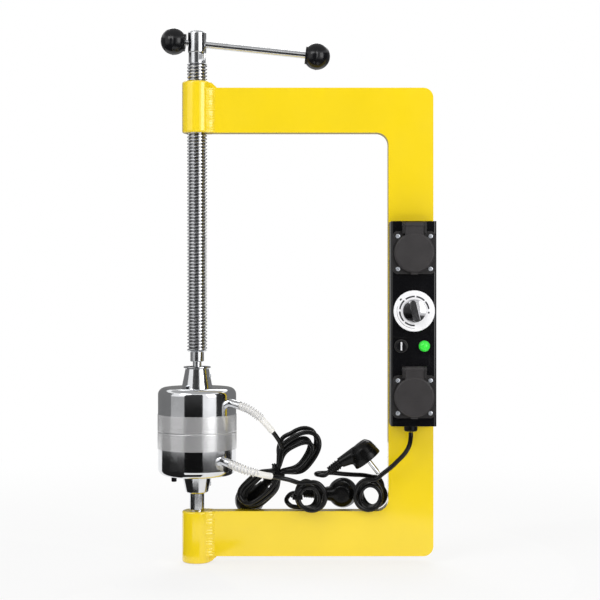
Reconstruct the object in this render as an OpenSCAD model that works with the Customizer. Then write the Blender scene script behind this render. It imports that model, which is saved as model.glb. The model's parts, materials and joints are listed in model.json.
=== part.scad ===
// Bench tire vulcanizer: a C-frame screw press with two heated heads and a control box.
// Millimetres. X runs from the press axis to the column, Y away from the viewer, Z up.
// The origin is the centre of the lower boss's foot face.

/* [Frame] */
// Width of the arms and of the column
limb_w = 54; // [40:1:70]
// Thickness of the frame plate
plate_t = 18; // [12:1:24]
// Distance from the press axis to the column
throat_depth = 230; // [190:1:280]
// Height of the throat between the arms
throat_h = 454; // [380:1:560]
// Radius of the outer corners
outer_r = 12; // [4:1:24]
// Radius of the inner corners
inner_r = 14; // [4:1:30]

/* [Bosses] */
// Diameter of both bosses
boss_d = 36; // [32:1:44]
// How far a boss stands past its arm
boss_over = 8; // [4:1:16]
// Rounding of the boss ends
boss_round = 2.5; // [1:0.5:4]
// Leg length of the weld beads
weld_leg = 6; // [3:0.5:8]

/* [Lead screw] */
// Outer diameter of the thread
screw_d = 24; // [18:1:26]
// Travel for one turn
screw_pitch = 4; // [3:0.5:6]
// Length of thread above the upper boss at rest
screw_above = 22; // [10:1:60]
// Diameter and height of the waist under the screw's head
waist_d = 20.6; // [16:0.2:24]
// Height of the waist
waist_h = 13; // [6:1:20]
// Diameter of the screw's head
top_d = 22; // [20:1:30]
// Height of the screw's head
top_h = 26; // [20:1:36]
// Diameter of the plain journal under the thread
journal_d = 16.4; // [12:0.2:18]
// Height of the journal
journal_h = 11.6; // [6:0.2:16]
// Diameter of the neck that enters the upper hub
neck_d = 10.4; // [8:0.2:12]
// Length of neck that shows above the hub
neck_show = 6; // [3:0.5:10]
// Diameter of the button that presses in the upper hub
button_d = 15; // [13:0.5:17]

/* [Tommy bar] */
// Diameter of the bar
bar_d = 8; // [6:0.5:10]
// Distance from the screw to the left ball's centre
bar_left = 28; // [26:1:60]
// Distance from the screw to the right ball's centre
bar_right = 145; // [110:1:180]
// How far the bar droops to the right, in degrees
bar_droop = 6; // [0:1:8]
// Diameter of the balls
ball_d = 32; // [26:1:34]
// Diameter of the collar on each ball
collar_d = 21; // [16:1:24]
// Distance from a ball's centre to its collar's face
collar_reach = 13.8; // [13:0.2:16]

/* [Heads] */
// Diameter of the aluminium heating plates
heat_plate_d = 95; // [78:1:110]
// Height of the heating plates' rim
heat_plate_h = 20.5; // [16:0.5:30]
// How far the plate's rim stands out past the cap
rim_step = 0.5; // [0.2:0.1:3]
// Height of the chrome caps
cap_h = 32; // [26:1:40]
// Rounding of the caps' edges
cap_round = 8.5; // [3:0.5:12]
// Wall of the caps
cap_wall = 1.2; // [0.8:0.1:2]
// Gap between the closed heating plates
face_gap = 0.3; // [0.2:0.1:1]
// Height of the upper hub
upper_hub_h = 25; // [22:0.5:32]
// Height of the lower hub
lower_hub_h = 21.8; // [19:0.2:30]
// Diameter of the hubs where they meet the caps
hub_base_d = 37; // [34:0.5:44]
// Diameter of the hubs at their narrow ends
hub_end_d = 28; // [26:0.5:34]
// Diameter of the lower head's pin
pin_d = 18; // [14:1:20]
// Length of pin that shows between the boss and the lower hub
pin_show = 21; // [8:1:30]
// Depth of the pin's seat in the lower boss
pin_seat = 40; // [20:1:50]

/* [Leads] */
// Diameter of the black cords
cord_d = 5.5; // [5:0.1:6]
// Diameter of the white sleeves
sleeve_d = 7.6; // [7:0.1:7.8]
// Outer diameter of the chrome tubes
tube_d = 10; // [9.6:0.1:12]
// Bore of the chrome tubes
tube_bore = 8.2; // [8:0.1:9]
// Length of the chrome tubes
tube_len = 17; // [12:1:24]
// Downward slope of the chrome tubes, in degrees
tube_dip = 12; // [0:1:25]
// Direction of the upper tube, in degrees from the column side
upper_tube_turn = -28; // [-60:1:0]
// Direction of the lower tube, in degrees from the column side
lower_tube_turn = -45; // [-60:1:0]
// Wire diameter of the strain relief springs
spring_wire = 1.1; // [0.8:0.1:1.4]
// Mean diameter of the strain relief springs
spring_mean = 9.6; // [9:0.1:11]
// Number of curls in each strain relief spring
spring_curls = 9; // [6:1:12]

/* [Control box] */
// Width of the box
box_w = 53; // [52:1:60]
// Height of the box
box_h = 240; // [220:1:300]
// Depth of the box
box_d = 45; // [36:1:60]
// Thickness of its sheet metal
sheet = 1.5; // [1:0.1:2]
// Height of the box above the lower arm
box_rise = 106; // [80:1:140]
// Height of the upper socket in the box
upper_socket_h = 203; // [195:1:215]
// Height of the dial in the box
dial_h = 135; // [125:1:145]
// Height of the fuse and the lamp in the box
small_row_h = 94; // [85:1:100]
// Height of the lower socket in the box
lower_socket_h = 35; // [30:1:45]
// Diameter of the dial
dial_d = 48; // [40:1:50]
// Diameter of the dial's knob
knob_d = 27; // [22:1:32]

/* [Sockets] */
// Side of the square flanges
flange_w = 50; // [46:1:52]
// Thickness of the flanges
flange_t = 4; // [3:0.5:6]
// Spacing of the flange screws
flange_pitch = 38; // [36:1:40]
// Diameter of the socket wells
well_d = 39; // [38.5:0.1:40]
// Depth of the socket wells
well_depth = 17.5; // [17:0.5:19]
// Diameter of the lids
lid_d = 47; // [44:1:49]
// Thickness of the lids
lid_t = 6; // [4:0.5:8]
// Width of the lids' hinge tabs
tab_w = 21.5; // [16:0.5:24]

/* [Plugs] */
// Diameter of the plugs' faces
plug_d = 36; // [34:0.5:38]
// Depth of the plugs behind their faces
plug_depth = 23; // [20:1:28]
// Distance from a plug's centre to the end of its cord boot
boot_reach = 45; // [42:1:52]
// Diameter of the plug pins
plug_pin_d = 4.8; // [4:0.1:5]
// Length of the plug pins
plug_pin_len = 19; // [18:0.5:19.5]
// Spacing of the plug pins
plug_pitch = 19; // [18:0.5:20]

/* [Hidden] */
$fn = 64;
hull_fn = 32;
eps = 0.01;

// Colours of the object
frame_yellow = "#f9db14";
chrome = "#d4d8dc";
aluminium = "#b9bbbd";
black = "#17181a";
cord_black = "#1d1d1f";
white = "#f2f1ec";
steel = "#9a9da1";
brass = "#c8a24a";
green = "#3fd61f";

// Clearances: running fits, loose fits, and the root gap of the welds
running = 0.05;
slack = 0.3;
weld_gap = 0.05;

// Heights of the frame
boss_r = boss_d / 2;
arm_top = boss_over + limb_w;
ceiling = arm_top + throat_h;
roof = ceiling + limb_w;
boss_top = roof + boss_over;
front_y = -plate_t / 2;

// Heights of the heads and the screw
head_h = heat_plate_h + cap_h;
lower_face = arm_top + pin_show + lower_hub_h + head_h;
upper_face = lower_face + face_gap;
hub_top = upper_face + head_h + upper_hub_h;
thread_low = hub_top + neck_show + journal_h;
thread_high = boss_top + screw_above;
waist_top = thread_high + waist_h;
screw_top = waist_top + top_h;
bar_rise = 11;
bar_z = waist_top + bar_rise;
bar_hole_d = 2 * (bar_d / 2 / cos(bar_droop) + top_d / 2 * tan(bar_droop) + 3 * running);

// Inside of the heads
cap_r = heat_plate_d / 2 - rim_step;
cap_inner_r = cap_r - cap_wall;
spigot_h = 4;
pillar_r = 16;
stem_r = 8;
stem_depth = 18;
heater_tube = 8;
heater_r = cap_inner_r - 1.5 * heater_tube;
heater_z = heat_plate_h + 3.5;
insulation_z = heater_z + heater_tube / 2 + slack;
insulation_h = 14;
insulation_r = heater_r + heater_tube / 2 + 2;
cup_depth = 5.5;
cup_r = hub_end_d / 2 - 2;
lip_over = 2.2;
lip_h = 1.5;
hub_floor = 2.5;
grub_d = 5;
lower_grub_h = 11;
cap_screw_angle = 220;
cap_screw_r = 0.72 * cap_r;

// Chrome tubes
tube_start = cap_inner_r - 2;
upper_tube_h = 36;
lower_tube_h = 31;
upper_tube_z = upper_face + upper_tube_h;
lower_tube_z = lower_face - lower_tube_h;

// Control box
box_x = throat_depth + limb_w / 2;
box_z = arm_top + box_rise;
panel_y = front_y - box_d;
panel_back = panel_y + sheet;
box_fold = 3;
fuse_shift = -15;
lamp_shift = 12;
gland_shift = -2;
gland_y = front_y - box_d / 2;
gland_h = 8;
box_tab_h = 16;
box_screw_d = 4;
socket_r = well_d / 2 + 2;
socket_body_h = 24;
lid_gap = slack;
hinge_r = 4;
hinge_pin_d = 3;
hinge_rise = flange_w / 2 + 7;
hinge_y = -flange_t - lid_gap - lid_t + hinge_r + 0.2;
ear_w = 3;
ear_gap = 0.4;
shaft_d = 6;
nut_af = 14;
nut_h = 2;
fuse_d = 5.2;
fuse_len = 20;
fuse_holder_d = 12.4;
lamp_d = 14;

// Points along the cords, from the tubes and the gland to the first loop and from the last loop on
upper_route = [[64, -33, 186], [74, -35, 179], [83, -33, 170], [91, -28, 160], [97, -21, 151],
  [101, -14, 143]];
lower_route = [[55, -53, 119], [68, -55, 115], [80, -48, 111], [90, -39, 108], [101, -32, 105],
  [112, -28, 102], [123, -27, 98.5]];
mains_route = [[253, -30, 142], [248, -27, 133], [241, -24, 125], [233, -22, 117], [223, -21.5, 109]];
upper_tail = [[103, 17, 147], [98, 18.5, 134], [98.8, 19, 120]];
lower_tail = [[121, 1, 65.4], [112.5, 2.6, 67], [107.5, 8.5, 72.7], [112.5, 15, 79]];
mains_tail = [[201, 15, 102], [189, 16, 102.5], [176, 15.5, 103.5], [163, 14, 105], [153, 12.8, 105],
  [146.3, 10, 105], [143.5, 3.3, 105], [146.3, -3.4, 105]];
smooth_steps = 3;

// Loops of the cords: points a turn, and the height of a cord that lies just above the arm
loop_rings = 24;
loop_rest = arm_top + cord_d / 2 + 0.25;
// Bow-shaped hank of the upper lead: loops, how far they spiral in and out, their pitch and fan,
// and the length, half width and fullness of the low and the high lobe
bow_layers = 4;
bow_spread = 11.5;
bow_pitch = cord_d + 1.1;
bow_stack = bow_pitch * (bow_layers - 1) / 2;
bow_tie = [98, 0, loop_rest + 44.1];
bow_slope = 42.5;
bow_fan = 3.2;
bow_low = [49.5, 8, 0.9];
bow_high = [51, 12.5, 0.25];
bow_blend = 60;
// How far the tie draws the lobes and the spread together, and over what length
bow_draw = 0.74;
bow_close = 0.9;
bow_pinch = 14;
bow_first = 5 / loop_rings;
bow_final = bow_layers + 3 / loop_rings;
// Oval hank of the lower lead and oval coil of the mains lead: half sizes, first centre, the step
// of the centre a turn, and how fast the sizes wander
oval_half = [14, 15];
oval_start = [139, -26.8, loop_rest + oval_half.y];
oval_step = [-2.2, 7.6, 0];
oval_rates = [205, 150];
oval_turns = 3.5;
coil_half = [13.8, 16];
coil_start = [205, -21.5, loop_rest + coil_half.y];
coil_step = [1.6, 7, 0];
coil_rates = [215, 160];
coil_turns = 5;
wander = 2.4;

// Places of the plugs: the centre of the face, the way to the boot and the way of the pins
upper_plug_at = [62, 37, 69];
upper_plug_slope = 48;
upper_boot_way = [cos(upper_plug_slope), 0, sin(upper_plug_slope)];
upper_pin_way = [0, 1, 0];
lower_plug_at = [177, 21, arm_top + plug_d / 2 + 0.5];
lower_plug_turn = 14.5;
lower_boot_way = [-cos(lower_plug_turn), sin(lower_plug_turn), 0];
lower_pin_way = [sin(lower_plug_turn), cos(lower_plug_turn), 0];
mains_plug_at = [206, -6, 123];
mains_plug_tilt = 38;
mains_boot_way = [-cos(mains_plug_tilt), 0, -sin(mains_plug_tilt)];
mains_pin_way = [sin(mains_plug_tilt), 0, -cos(mains_plug_tilt)];
boot_depth = 18;
boot_r = 6;
plug_fin = 8;

// Vector and curve helpers
function unit(v) = v / norm(v);
function mix(a, b, f) = a + (b - a) * f;
function ease(x) = let (c = min(1, max(0, x))) c * c * (3 - 2 * c);
function total(v, i = 0) = i < len(v) ? v[i] + total(v, i + 1) : 0;
function last(v) = v[len(v) - 1];
function part(v, a, b) = [for (i = [a : b]) v[i]];

// A curve through the points, with the given number of steps between two of them
function curve_point(a, b, c, d, f) =
  0.5 * (2 * b + (c - a) * f + (2 * a - 5 * b + 4 * c - d) * f * f + (3 * b - a - 3 * c + d) * f * f * f);
function smooth(p, steps = smooth_steps) = let (n = len(p)) [
  for (i = [0 : n - 2], k = [0 : steps - 1])
    curve_point(p[max(0, i - 1)], p[i], p[i + 1], p[min(n - 1, i + 2)], k / steps),
  p[n - 1]
];

// Directions along a path, and normals that turn as little as they can
function ways(p) = let (n = len(p)) [for (i = [0 : n - 1]) unit(p[min(n - 1, i + 1)] - p[max(0, i - 1)])];
function side_of(t) = unit(cross(t, abs(t.z) < 0.8 ? [0, 0, 1] : [0, 1, 0]));
function normals(t) = [
  for (i = 0, n = side_of(t[0]); i < len(t); i = i + 1, n = i < len(t) ? unit(n - (n * t[i]) * t[i]) : n) n
];

// A tube along part of a path, as triangles
module swept(p, d, sides, first, final) {
  t = ways(p);
  n = normals(t);
  count = final - first + 1;
  rings = [
    for (i = [first : final], k = [0 : sides - 1])
      let (a = 360 * k / sides) p[i] + d / 2 * (cos(a) * n[i] + sin(a) * cross(t[i], n[i]))
  ];
  walls = [
    for (i = [0 : count - 2], k = [0 : sides - 1])
      let (a = i * sides + k, b = i * sides + (k + 1) % sides)
      each [[a, a + sides, b], [b, a + sides, b + sides]]
  ];
  low = [for (k = [1 : sides - 2]) [0, k, k + 1]];
  high = [for (k = [1 : sides - 2]) let (c = (count - 1) * sides) [c, c + k + 1, c + k]];
  polyhedron(rings, concat(low, walls, high));
}

// The least distance between the walls of a wound tube, apart from neighbours along it
function least_gap(p, d, apart) = min([
  for (i = [0 : len(p) - 1 - apart], j = [i + apart : 1 : len(p) - 1]) norm(p[i] - p[j])
]) - d;

// Loops: how far out and how many layers back a point lies after t turns
function outset(t) = let (layer = floor(t), q = t - layer) bow_spread * (layer % 2 == 0 ? 1 - q : q);
function layers_up(t) = total([for (k = [1 : bow_layers]) ease((t - k) * 2 + 0.5)]);
function bow_point(t) =
  let (a = 360 * t, o = outset(t), u = ((cos(a) > 0 ? bow_high.x : bow_low.x) + o) * cos(a),
    pinch = exp(-pow(u / bow_pinch, 2)), lobe = mix(bow_low, bow_high, ease(u / bow_blend + 0.5)),
    full = 1 + lobe.z * pow(cos(a), 4),
    v = sin(a) * full * (lobe.y * (1 - bow_draw * pinch) + o * (1 - bow_close * pinch)),
    slope = bow_slope + bow_fan * (t - bow_layers / 2))
  bow_tie + [u * cos(slope) - v * sin(slope), bow_pitch * layers_up(t) - bow_stack,
    u * sin(slope) + v * cos(slope)];
function loop_point(start, half, way, step, rates, t) =
  let (a = 90 + way * 360 * t, wide = half.x + wander * sin(rates.x * t),
    grown = wander * sin(rates.y * t + 60))
  start + t * step + [wide * cos(a), 0, grown + (half.y + grown) * sin(a)];
function oval_point(t) = loop_point(oval_start, oval_half, -1, oval_step, oval_rates, t);
function coil_point(t) = loop_point(coil_start, coil_half, 1, coil_step, coil_rates, t);
function turn_steps(first, final) = [
  for (i = [round(first * loop_rings) : round(final * loop_rings)]) i / loop_rings
];
bow_loops = [for (t = turn_steps(bow_first, bow_final)) bow_point(t)];
oval_loops = [for (t = turn_steps(0, oval_turns)) oval_point(t)];
coil_loops = [for (t = turn_steps(0, coil_turns)) coil_point(t)];

// A straight diameter of cord before the first loop, and the straight entry into a plug's boot
function before(p) = p[0] - cord_d * unit(p[1] - p[0]);
function boot_end(at, boot, pin) = at - boot_depth * pin + boot_reach * boot;
function entry(at, boot, pin) = [boot_end(at, boot, pin) + 1.4 * cord_d * boot, boot_end(at, boot, pin)];

// The end of a chrome tube and its direction
function tube_way(turn) = [cos(tube_dip) * cos(turn), cos(tube_dip) * sin(turn), -sin(tube_dip)];
function tube_end(turn, z) = [tube_start * cos(turn), tube_start * sin(turn), z] + tube_len * tube_way(turn);

// Whole paths: a run in the tube, the route, the loops and the run to the plug
function lead_in(turn, z, route, loops) = concat(
  [tube_end(turn, z) - 8 * tube_way(turn), tube_end(turn, z)], route, [before(loops)]);
upper_in = smooth(lead_in(upper_tube_turn, upper_tube_z, upper_route, bow_loops));
lower_in = smooth(lead_in(lower_tube_turn, lower_tube_z, lower_route, oval_loops));
gland_top = [box_x + gland_shift, gland_y, box_z + sheet + gland_h / 2];
gland_exit = [for (drop = [gland_h + 1, 2 * gland_h]) [gland_top.x, gland_top.y, box_z - drop]];
mains_in = smooth(concat([gland_top], gland_exit, mains_route, [before(coil_loops)]));
function after(loops, tail, ends) =
  let (s = smooth(concat([last(loops)], tail, ends))) part(s, 1, len(s) - 1);
upper_path = concat(upper_in, bow_loops,
  after(bow_loops, upper_tail, entry(upper_plug_at, upper_boot_way, upper_pin_way)));
lower_path = concat(lower_in, oval_loops,
  after(oval_loops, lower_tail, entry(lower_plug_at, lower_boot_way, lower_pin_way)));
mains_path = concat(mains_in, coil_loops,
  after(coil_loops, mains_tail, entry(mains_plug_at, mains_boot_way, mains_pin_way)));
sleeve_end = 5 * smooth_steps;

// A spring around the start of a path: straight ends and curls between them
spring_rings = 8;
spring_first = smooth_steps + 0.3;
spring_final = 3.4 * smooth_steps;
function on_path(v, s) = let (i = min(floor(s), len(v) - 2)) mix(v[i], v[i + 1], s - i);
function curls(p) = let (t = ways(p), n = normals(t), count = spring_curls * spring_rings) [
  for (j = [0 : count])
    let (s = mix(spring_first, spring_final, j / count), a = 360 * j / spring_rings,
      w = unit(on_path(t, s)), m = unit(on_path(n, s)))
    on_path(p, s) + spring_mean / 2 * (cos(a) * m + sin(a) * cross(w, m))
];
function spring_path(p) = let (c = curls(p), t = ways(p)) concat(
  [c[0] - spring_wire * on_path(t, spring_first)], c,
  [last(c) + spring_wire * on_path(t, spring_final)]);
upper_spring_path = spring_path(upper_path);
lower_spring_path = spring_path(lower_path);
echo(upper_hank_gap = least_gap(part(upper_path, len(upper_in), len(upper_path) - 1), cord_d, 5));
echo(lower_hank_gap = least_gap(part(lower_path, len(lower_in), len(lower_path) - 1), cord_d, 7));
echo(mains_coil_gap = least_gap(part(mains_path, len(mains_in), len(mains_path) - 1), cord_d, 7));
echo(upper_spring_gap = least_gap(upper_spring_path, spring_wire, 6));
echo(lower_spring_gap = least_gap(lower_spring_path, spring_wire, 6));

// Half profile of a turned piece, with rounded outer edges
module turned(r, z0, z1, c0 = 0, c1 = 0) {
  translate([0, z0 + c0]) square([r, z1 - c1 - z0 - c0]);
  if (c0 > 0) {
    translate([0, z0]) square([r - c0, c0]);
    translate([r - c0, z0 + c0]) circle(c0);
  }
  if (c1 > 0) {
    translate([0, z1 - c1]) square([r - c1, c1]);
    translate([r - c1, z1 - c1]) circle(c1);
  }
}

// A bore along Z
module bore(r, z0, z1) {
  translate([0, 0, z0]) cylinder(r = r, h = z1 - z0);
}

// Rectangle whose right corners are round
module right_round(x0, z0, x1, z1, r) {
  translate([x0, z0]) square([x1 - r - x0, z1 - z0]);
  translate([x1 - r, z0 + r]) square([r, z1 - z0 - 2 * r]);
  for (z = [z0 + r, z1 - r]) translate([x1 - r, z]) circle(r);
}

// Rectangle about the origin with round corners
module round_square(w, h, r) {
  square([w - 2 * r, h], center = true);
  square([w, h - 2 * r], center = true);
  for (x = [-1, 1], y = [-1, 1]) translate([x * (w / 2 - r), y * (h / 2 - r)]) circle(r);
}

// A frame whose X and Z axes point along the given ways
module placed(at, x, z) {
  y = cross(z, x);
  multmatrix([[x.x, y.x, z.x, at.x], [x.y, y.y, z.y, at.y], [x.z, y.z, z.z, at.z]]) children();
}

// A place on the box's front, with Z pointing out of it
module on_panel(dx, h) {
  translate([box_x + dx, panel_y, box_z + h]) rotate([90, 0, 0]) children();
}

// The heads' own frame: the working face at 0, and the cap's side above it
module upper_frame() {
  translate([0, 0, upper_face]) children();
}
module lower_frame() {
  translate([0, 0, lower_face]) mirror([0, 0, 1]) children();
}
module tube_frame(turn, h, dip) {
  rotate([0, 0, turn]) translate([tube_start, 0, h]) rotate([0, 90 + dip, 0]) children();
}

// Frame
box_screw_z = [box_z + sheet + box_tab_h / 2, box_z + box_h - sheet - box_tab_h / 2];
module c_frame() {
  color(frame_yellow) difference() {
    rotate([90, 0, 0]) linear_extrude(plate_t, center = true) difference() {
      right_round(0, boss_over, throat_depth + limb_w, roof, outer_r);
      right_round(-1, arm_top, throat_depth, ceiling, inner_r);
    }
    bore(boss_r + weld_gap, -1, boss_top + 1);
    for (z = box_screw_z) translate([box_x, front_y, z]) rotate([-90, 0, 0])
      bore(box_screw_d / 2 + running, -1, plate_t * 0.7);
  }
}

module upper_boss() {
  color(frame_yellow) difference() {
    rotate_extrude() turned(boss_r, ceiling, boss_top, boss_round, boss_round);
    bore(screw_d / 2 + running, ceiling - 1, boss_top + 1);
  }
}

module lower_boss() {
  color(frame_yellow) difference() {
    rotate_extrude() turned(boss_r, 0, arm_top, boss_round, boss_round);
    bore(pin_d / 2 + running, arm_top - pin_seat, arm_top + 1);
  }
}

weld_x = sqrt(pow(boss_r, 2) - pow(plate_t / 2, 2));
weld_angle = asin(plate_t / 2 / boss_r) + weld_leg / boss_r * 180 / PI;
module side_bead(z0, z1) {
  inner = boss_r - 3;
  for (side = [0, 1]) mirror([0, side, 0]) translate([0, 0, z0]) linear_extrude(z1 - z0) polygon([
    [weld_x - 3, front_y], [weld_x + weld_leg, front_y],
    [boss_r * cos(weld_angle), -boss_r * sin(weld_angle)],
    [inner * cos(weld_angle), -inner * sin(weld_angle)]
  ]);
}
module end_bead(z, way) {
  tall = boss_over - boss_round;
  rotate([90, 0, 0]) linear_extrude(plate_t, center = true) polygon([
    [boss_r - 6, z], [boss_r + weld_leg, z], [boss_r + 0.5, z + way * tall], [boss_r - 6, z + way * tall]
  ]);
}
module weld_beads() {
  color(frame_yellow) difference() {
    union() {
      side_bead(boss_over, arm_top);
      side_bead(ceiling, roof);
      end_bead(boss_over, -1);
      end_bead(roof, 1);
    }
    bore(boss_r + weld_gap, -1, boss_top + 1);
  }
}

// Lead screw, with a button under its neck and a cross hole in its head
hub_bore_floor = upper_face + head_h + hub_floor;
button_top = hub_bore_floor + slack + 8;
neck_low = button_top;
module lead_screw() {
  chamfer = 2;
  color(chrome) difference() {
    rotate_extrude() {
      turned(button_d / 2, hub_bore_floor + slack, button_top, 1, 0.5);
      translate([0, neck_low - eps]) square([neck_d / 2, thread_low - journal_h - neck_low + 2 * eps]);
      turned(journal_d / 2, thread_low - journal_h, thread_low + eps, 0.8, 0);
      polygon([
        [0, thread_low], [screw_d / 2 - chamfer, thread_low], [screw_d / 2, thread_low + chamfer],
        [screw_d / 2, thread_high - 1], [waist_d / 2, thread_high], [waist_d / 2, waist_top + eps],
        [0, waist_top + eps]
      ]);
      turned(top_d / 2, waist_top, screw_top, 1, 3);
    }
    translate([0, 0, bar_z]) rotate([0, 90, 0]) cylinder(d = bar_hole_d, h = 2 * top_d, center = true);
  }
}

module bar_frame() {
  translate([0, 0, bar_z]) rotate([0, 90 + bar_droop, 0]) children();
}
bar_end_in = 8;
module tommy_bar() {
  color(chrome) bar_frame() rotate_extrude()
    turned(bar_d / 2, -bar_left - bar_end_in, bar_right + bar_end_in, 0.6, 0.6);
}
module ball_knob() {
  seam = 0.4;
  difference() {
    rotate_extrude() intersection() {
      union() {
        circle(d = ball_d);
        translate([0, -seam]) square([ball_d / 2 + seam, 2 * seam]);
        square([collar_d / 2, collar_reach]);
      }
      translate([0, -ball_d]) square([ball_d, ball_d + collar_reach]);
    }
    bore(bar_d / 2 + running, -bar_end_in - slack, ball_d);
  }
}
module ball_knobs() {
  color(black) bar_frame() {
    translate([0, 0, -bar_left]) ball_knob();
    translate([0, 0, bar_right]) mirror([0, 0, 1]) ball_knob();
  }
}

// Pieces that both heads share, in the heads' own frame
module heat_plate() {
  difference() {
    rotate_extrude() {
      turned(heat_plate_d / 2, 0, heat_plate_h, 0.8, 0);
      translate([0, heat_plate_h - eps]) square([cap_inner_r - running, spigot_h]);
      square([pillar_r, head_h - cap_wall]);
    }
    bore(stem_r + running, head_h - stem_depth - slack, head_h);
    rotate_extrude() translate([heater_r, 0]) {
      translate([0, heater_z]) circle(heater_tube / 2 + slack);
      translate([-heater_tube / 2 - slack, heater_z]) square([heater_tube + 2 * slack, heater_tube]);
    }
  }
}
module head_cap(turn, h, dip) {
  difference() {
    rotate_extrude() difference() {
      turned(cap_r, heat_plate_h, head_h, 0, cap_round);
      turned(cap_inner_r, heat_plate_h - 1, head_h - cap_wall, 0, cap_round - cap_wall);
    }
    bore(stem_r + slack, heat_plate_h, head_h + 1);
    tube_frame(turn, h, dip) bore(tube_d / 2 + running, -1, tube_len);
  }
}
module heater_ring() {
  translate([0, 0, heater_z]) rotate_extrude() translate([heater_r, 0]) circle(d = heater_tube);
}
module insulation_ring() {
  translate([0, 0, insulation_z]) difference() {
    cylinder(r = insulation_r, h = insulation_h);
    bore(pillar_r + slack, -1, insulation_h + 1);
  }
}
module lead_tube(turn, h, dip) {
  tube_frame(turn, h, dip) difference() {
    rotate_extrude() turned(tube_d / 2, 0, tube_len, 0, 0.6);
    bore(tube_bore / 2, -1, tube_len + 1);
  }
}
module grub_screw(r0, r1, h) {
  translate([r0, 0, h]) rotate([0, 90, 0]) rotate_extrude() turned(grub_d / 2, 0, r1 - r0, 0.4, 0.4);
}
module grub_hole(h) {
  translate([0, 0, h]) rotate([0, 90, 0]) bore(grub_d / 2 + running, 0, hub_base_d);
}
function hub_radius(h, tall) = mix(hub_base_d, hub_end_d, h / tall) / 2;

// Upper head
upper_grub_z = button_top + slack + grub_d / 2;
module upper_hub() {
  cone_h = upper_hub_h - lip_h;
  slot_r = 3.5;
  slot_angle = -123;
  color(chrome) difference() {
    upper_frame() rotate_extrude() difference() {
      union() {
        polygon([
          [0, head_h], [hub_base_d / 2, head_h], [hub_end_d / 2, head_h + cone_h - 1],
          [hub_end_d / 2 + lip_over, head_h + cone_h], [hub_end_d / 2 + lip_over, head_h + upper_hub_h],
          [0, head_h + upper_hub_h]
        ]);
        translate([0, head_h - stem_depth]) square([stem_r, stem_depth + eps]);
      }
      translate([-1, head_h + upper_hub_h - cup_depth]) square([cup_r + 1, cup_depth + 1]);
      translate([-1, head_h + hub_floor]) square([button_d / 2 + 2 * running + 1, upper_hub_h]);
    }
    grub_hole(upper_grub_z);
    upper_frame() rotate([0, 0, slot_angle]) translate([hub_base_d / 2, 0, head_h]) rotate([0, 90, 0])
      cylinder(r = slot_r, h = 8, center = true);
  }
}
module upper_hub_screw() {
  outside = hub_radius(upper_grub_z - upper_face - head_h, upper_hub_h);
  color(steel) grub_screw(neck_d / 2 + slack, outside + 0.5, upper_grub_z);
}
module upper_cap() {
  color(chrome) upper_frame() head_cap(upper_tube_turn, upper_tube_h, tube_dip);
}
module upper_plate() {
  color(aluminium) upper_frame() heat_plate();
}
module upper_heater() {
  color(steel) upper_frame() heater_ring();
}
module upper_insulation() {
  color(white) upper_frame() insulation_ring();
}
module upper_tube() {
  color(chrome) upper_frame() lead_tube(upper_tube_turn, upper_tube_h, tube_dip);
}
module upper_spring() {
  color(steel) swept(upper_spring_path, spring_wire, 6, 0, len(upper_spring_path) - 1);
}
module upper_sleeve() {
  color(white) swept(upper_path, sleeve_d, 8, 0, sleeve_end);
}
module upper_lead() {
  color(cord_black) swept(upper_path, cord_d, 8, sleeve_end, len(upper_in) - 1);
}
module upper_hank() {
  color(cord_black) swept(upper_path, cord_d, 6, len(upper_in) - 1, len(upper_path) - 1);
}

// A flat band around a bundle of the given half sizes, with a short end that stands out
tie_t = 1.2;
tie_w = 4;
module tie_band(half_a, half_b) {
  linear_extrude(tie_w, center = true) difference() {
    round_square(2 * (half_a + tie_t), 2 * (half_b + tie_t), 3.5);
    round_square(2 * half_a, 2 * half_b, 2.5);
  }
  translate([half_a + tie_t - eps, 0, 0]) cube([4, 3, 2], center = true);
}
strand_room = cord_d / 2 + 0.4;
curve_room = 0.6;
module upper_tie() {
  waist = mix(bow_low, bow_high, 0.5).y * (1 - bow_draw) + (1 - bow_close) * bow_spread;
  color(black) placed(bow_tie, [-sin(bow_slope), 0, cos(bow_slope)], [cos(bow_slope), 0, sin(bow_slope)])
    tie_band(waist + strand_room + 2 * curve_room, bow_stack + strand_room);
}

// Lower head
module lower_pin() {
  pin_top = lower_face - head_h - hub_floor - slack;
  color(chrome) rotate_extrude() turned(pin_d / 2, arm_top - pin_seat, pin_top, 1, 1);
}
module lower_hub() {
  color(chrome) difference() {
    lower_frame() rotate_extrude() difference() {
      union() {
        polygon([
          [0, head_h], [hub_base_d / 2, head_h], [hub_end_d / 2, head_h + lower_hub_h - 2],
          [hub_end_d / 2 - 2, head_h + lower_hub_h], [0, head_h + lower_hub_h]
        ]);
        translate([0, head_h - stem_depth]) square([stem_r, stem_depth + eps]);
      }
      translate([-1, head_h + hub_floor]) square([pin_d / 2 + running + 1, lower_hub_h]);
    }
    lower_frame() grub_hole(head_h + lower_grub_h);
  }
}
module lower_hub_screw() {
  outside = hub_radius(lower_grub_h, lower_hub_h);
  color(steel) lower_frame() grub_screw(pin_d / 2 + slack, outside + 0.5, head_h + lower_grub_h);
}
module cap_screw_frame() {
  lower_frame() rotate([0, 0, cap_screw_angle]) translate([cap_screw_r, 0, head_h]) children();
}
cap_screw_d = 4;
module lower_cap() {
  color(chrome) difference() {
    lower_frame() head_cap(lower_tube_turn, lower_tube_h, -tube_dip);
    cap_screw_frame() bore(cap_screw_d / 2 + running, -4, 4);
  }
}
module lower_cap_screw() {
  color(black) cap_screw_frame() {
    bore(cap_screw_d / 2, -4, eps);
    rotate_extrude() turned(0.8 * cap_screw_d, 0, 1.4 * cap_screw_d, 0, 1);
  }
}
module lower_plate() {
  color(aluminium) lower_frame() heat_plate();
}
module lower_heater() {
  color(steel) lower_frame() heater_ring();
}
module lower_insulation() {
  color(white) lower_frame() insulation_ring();
}
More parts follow.
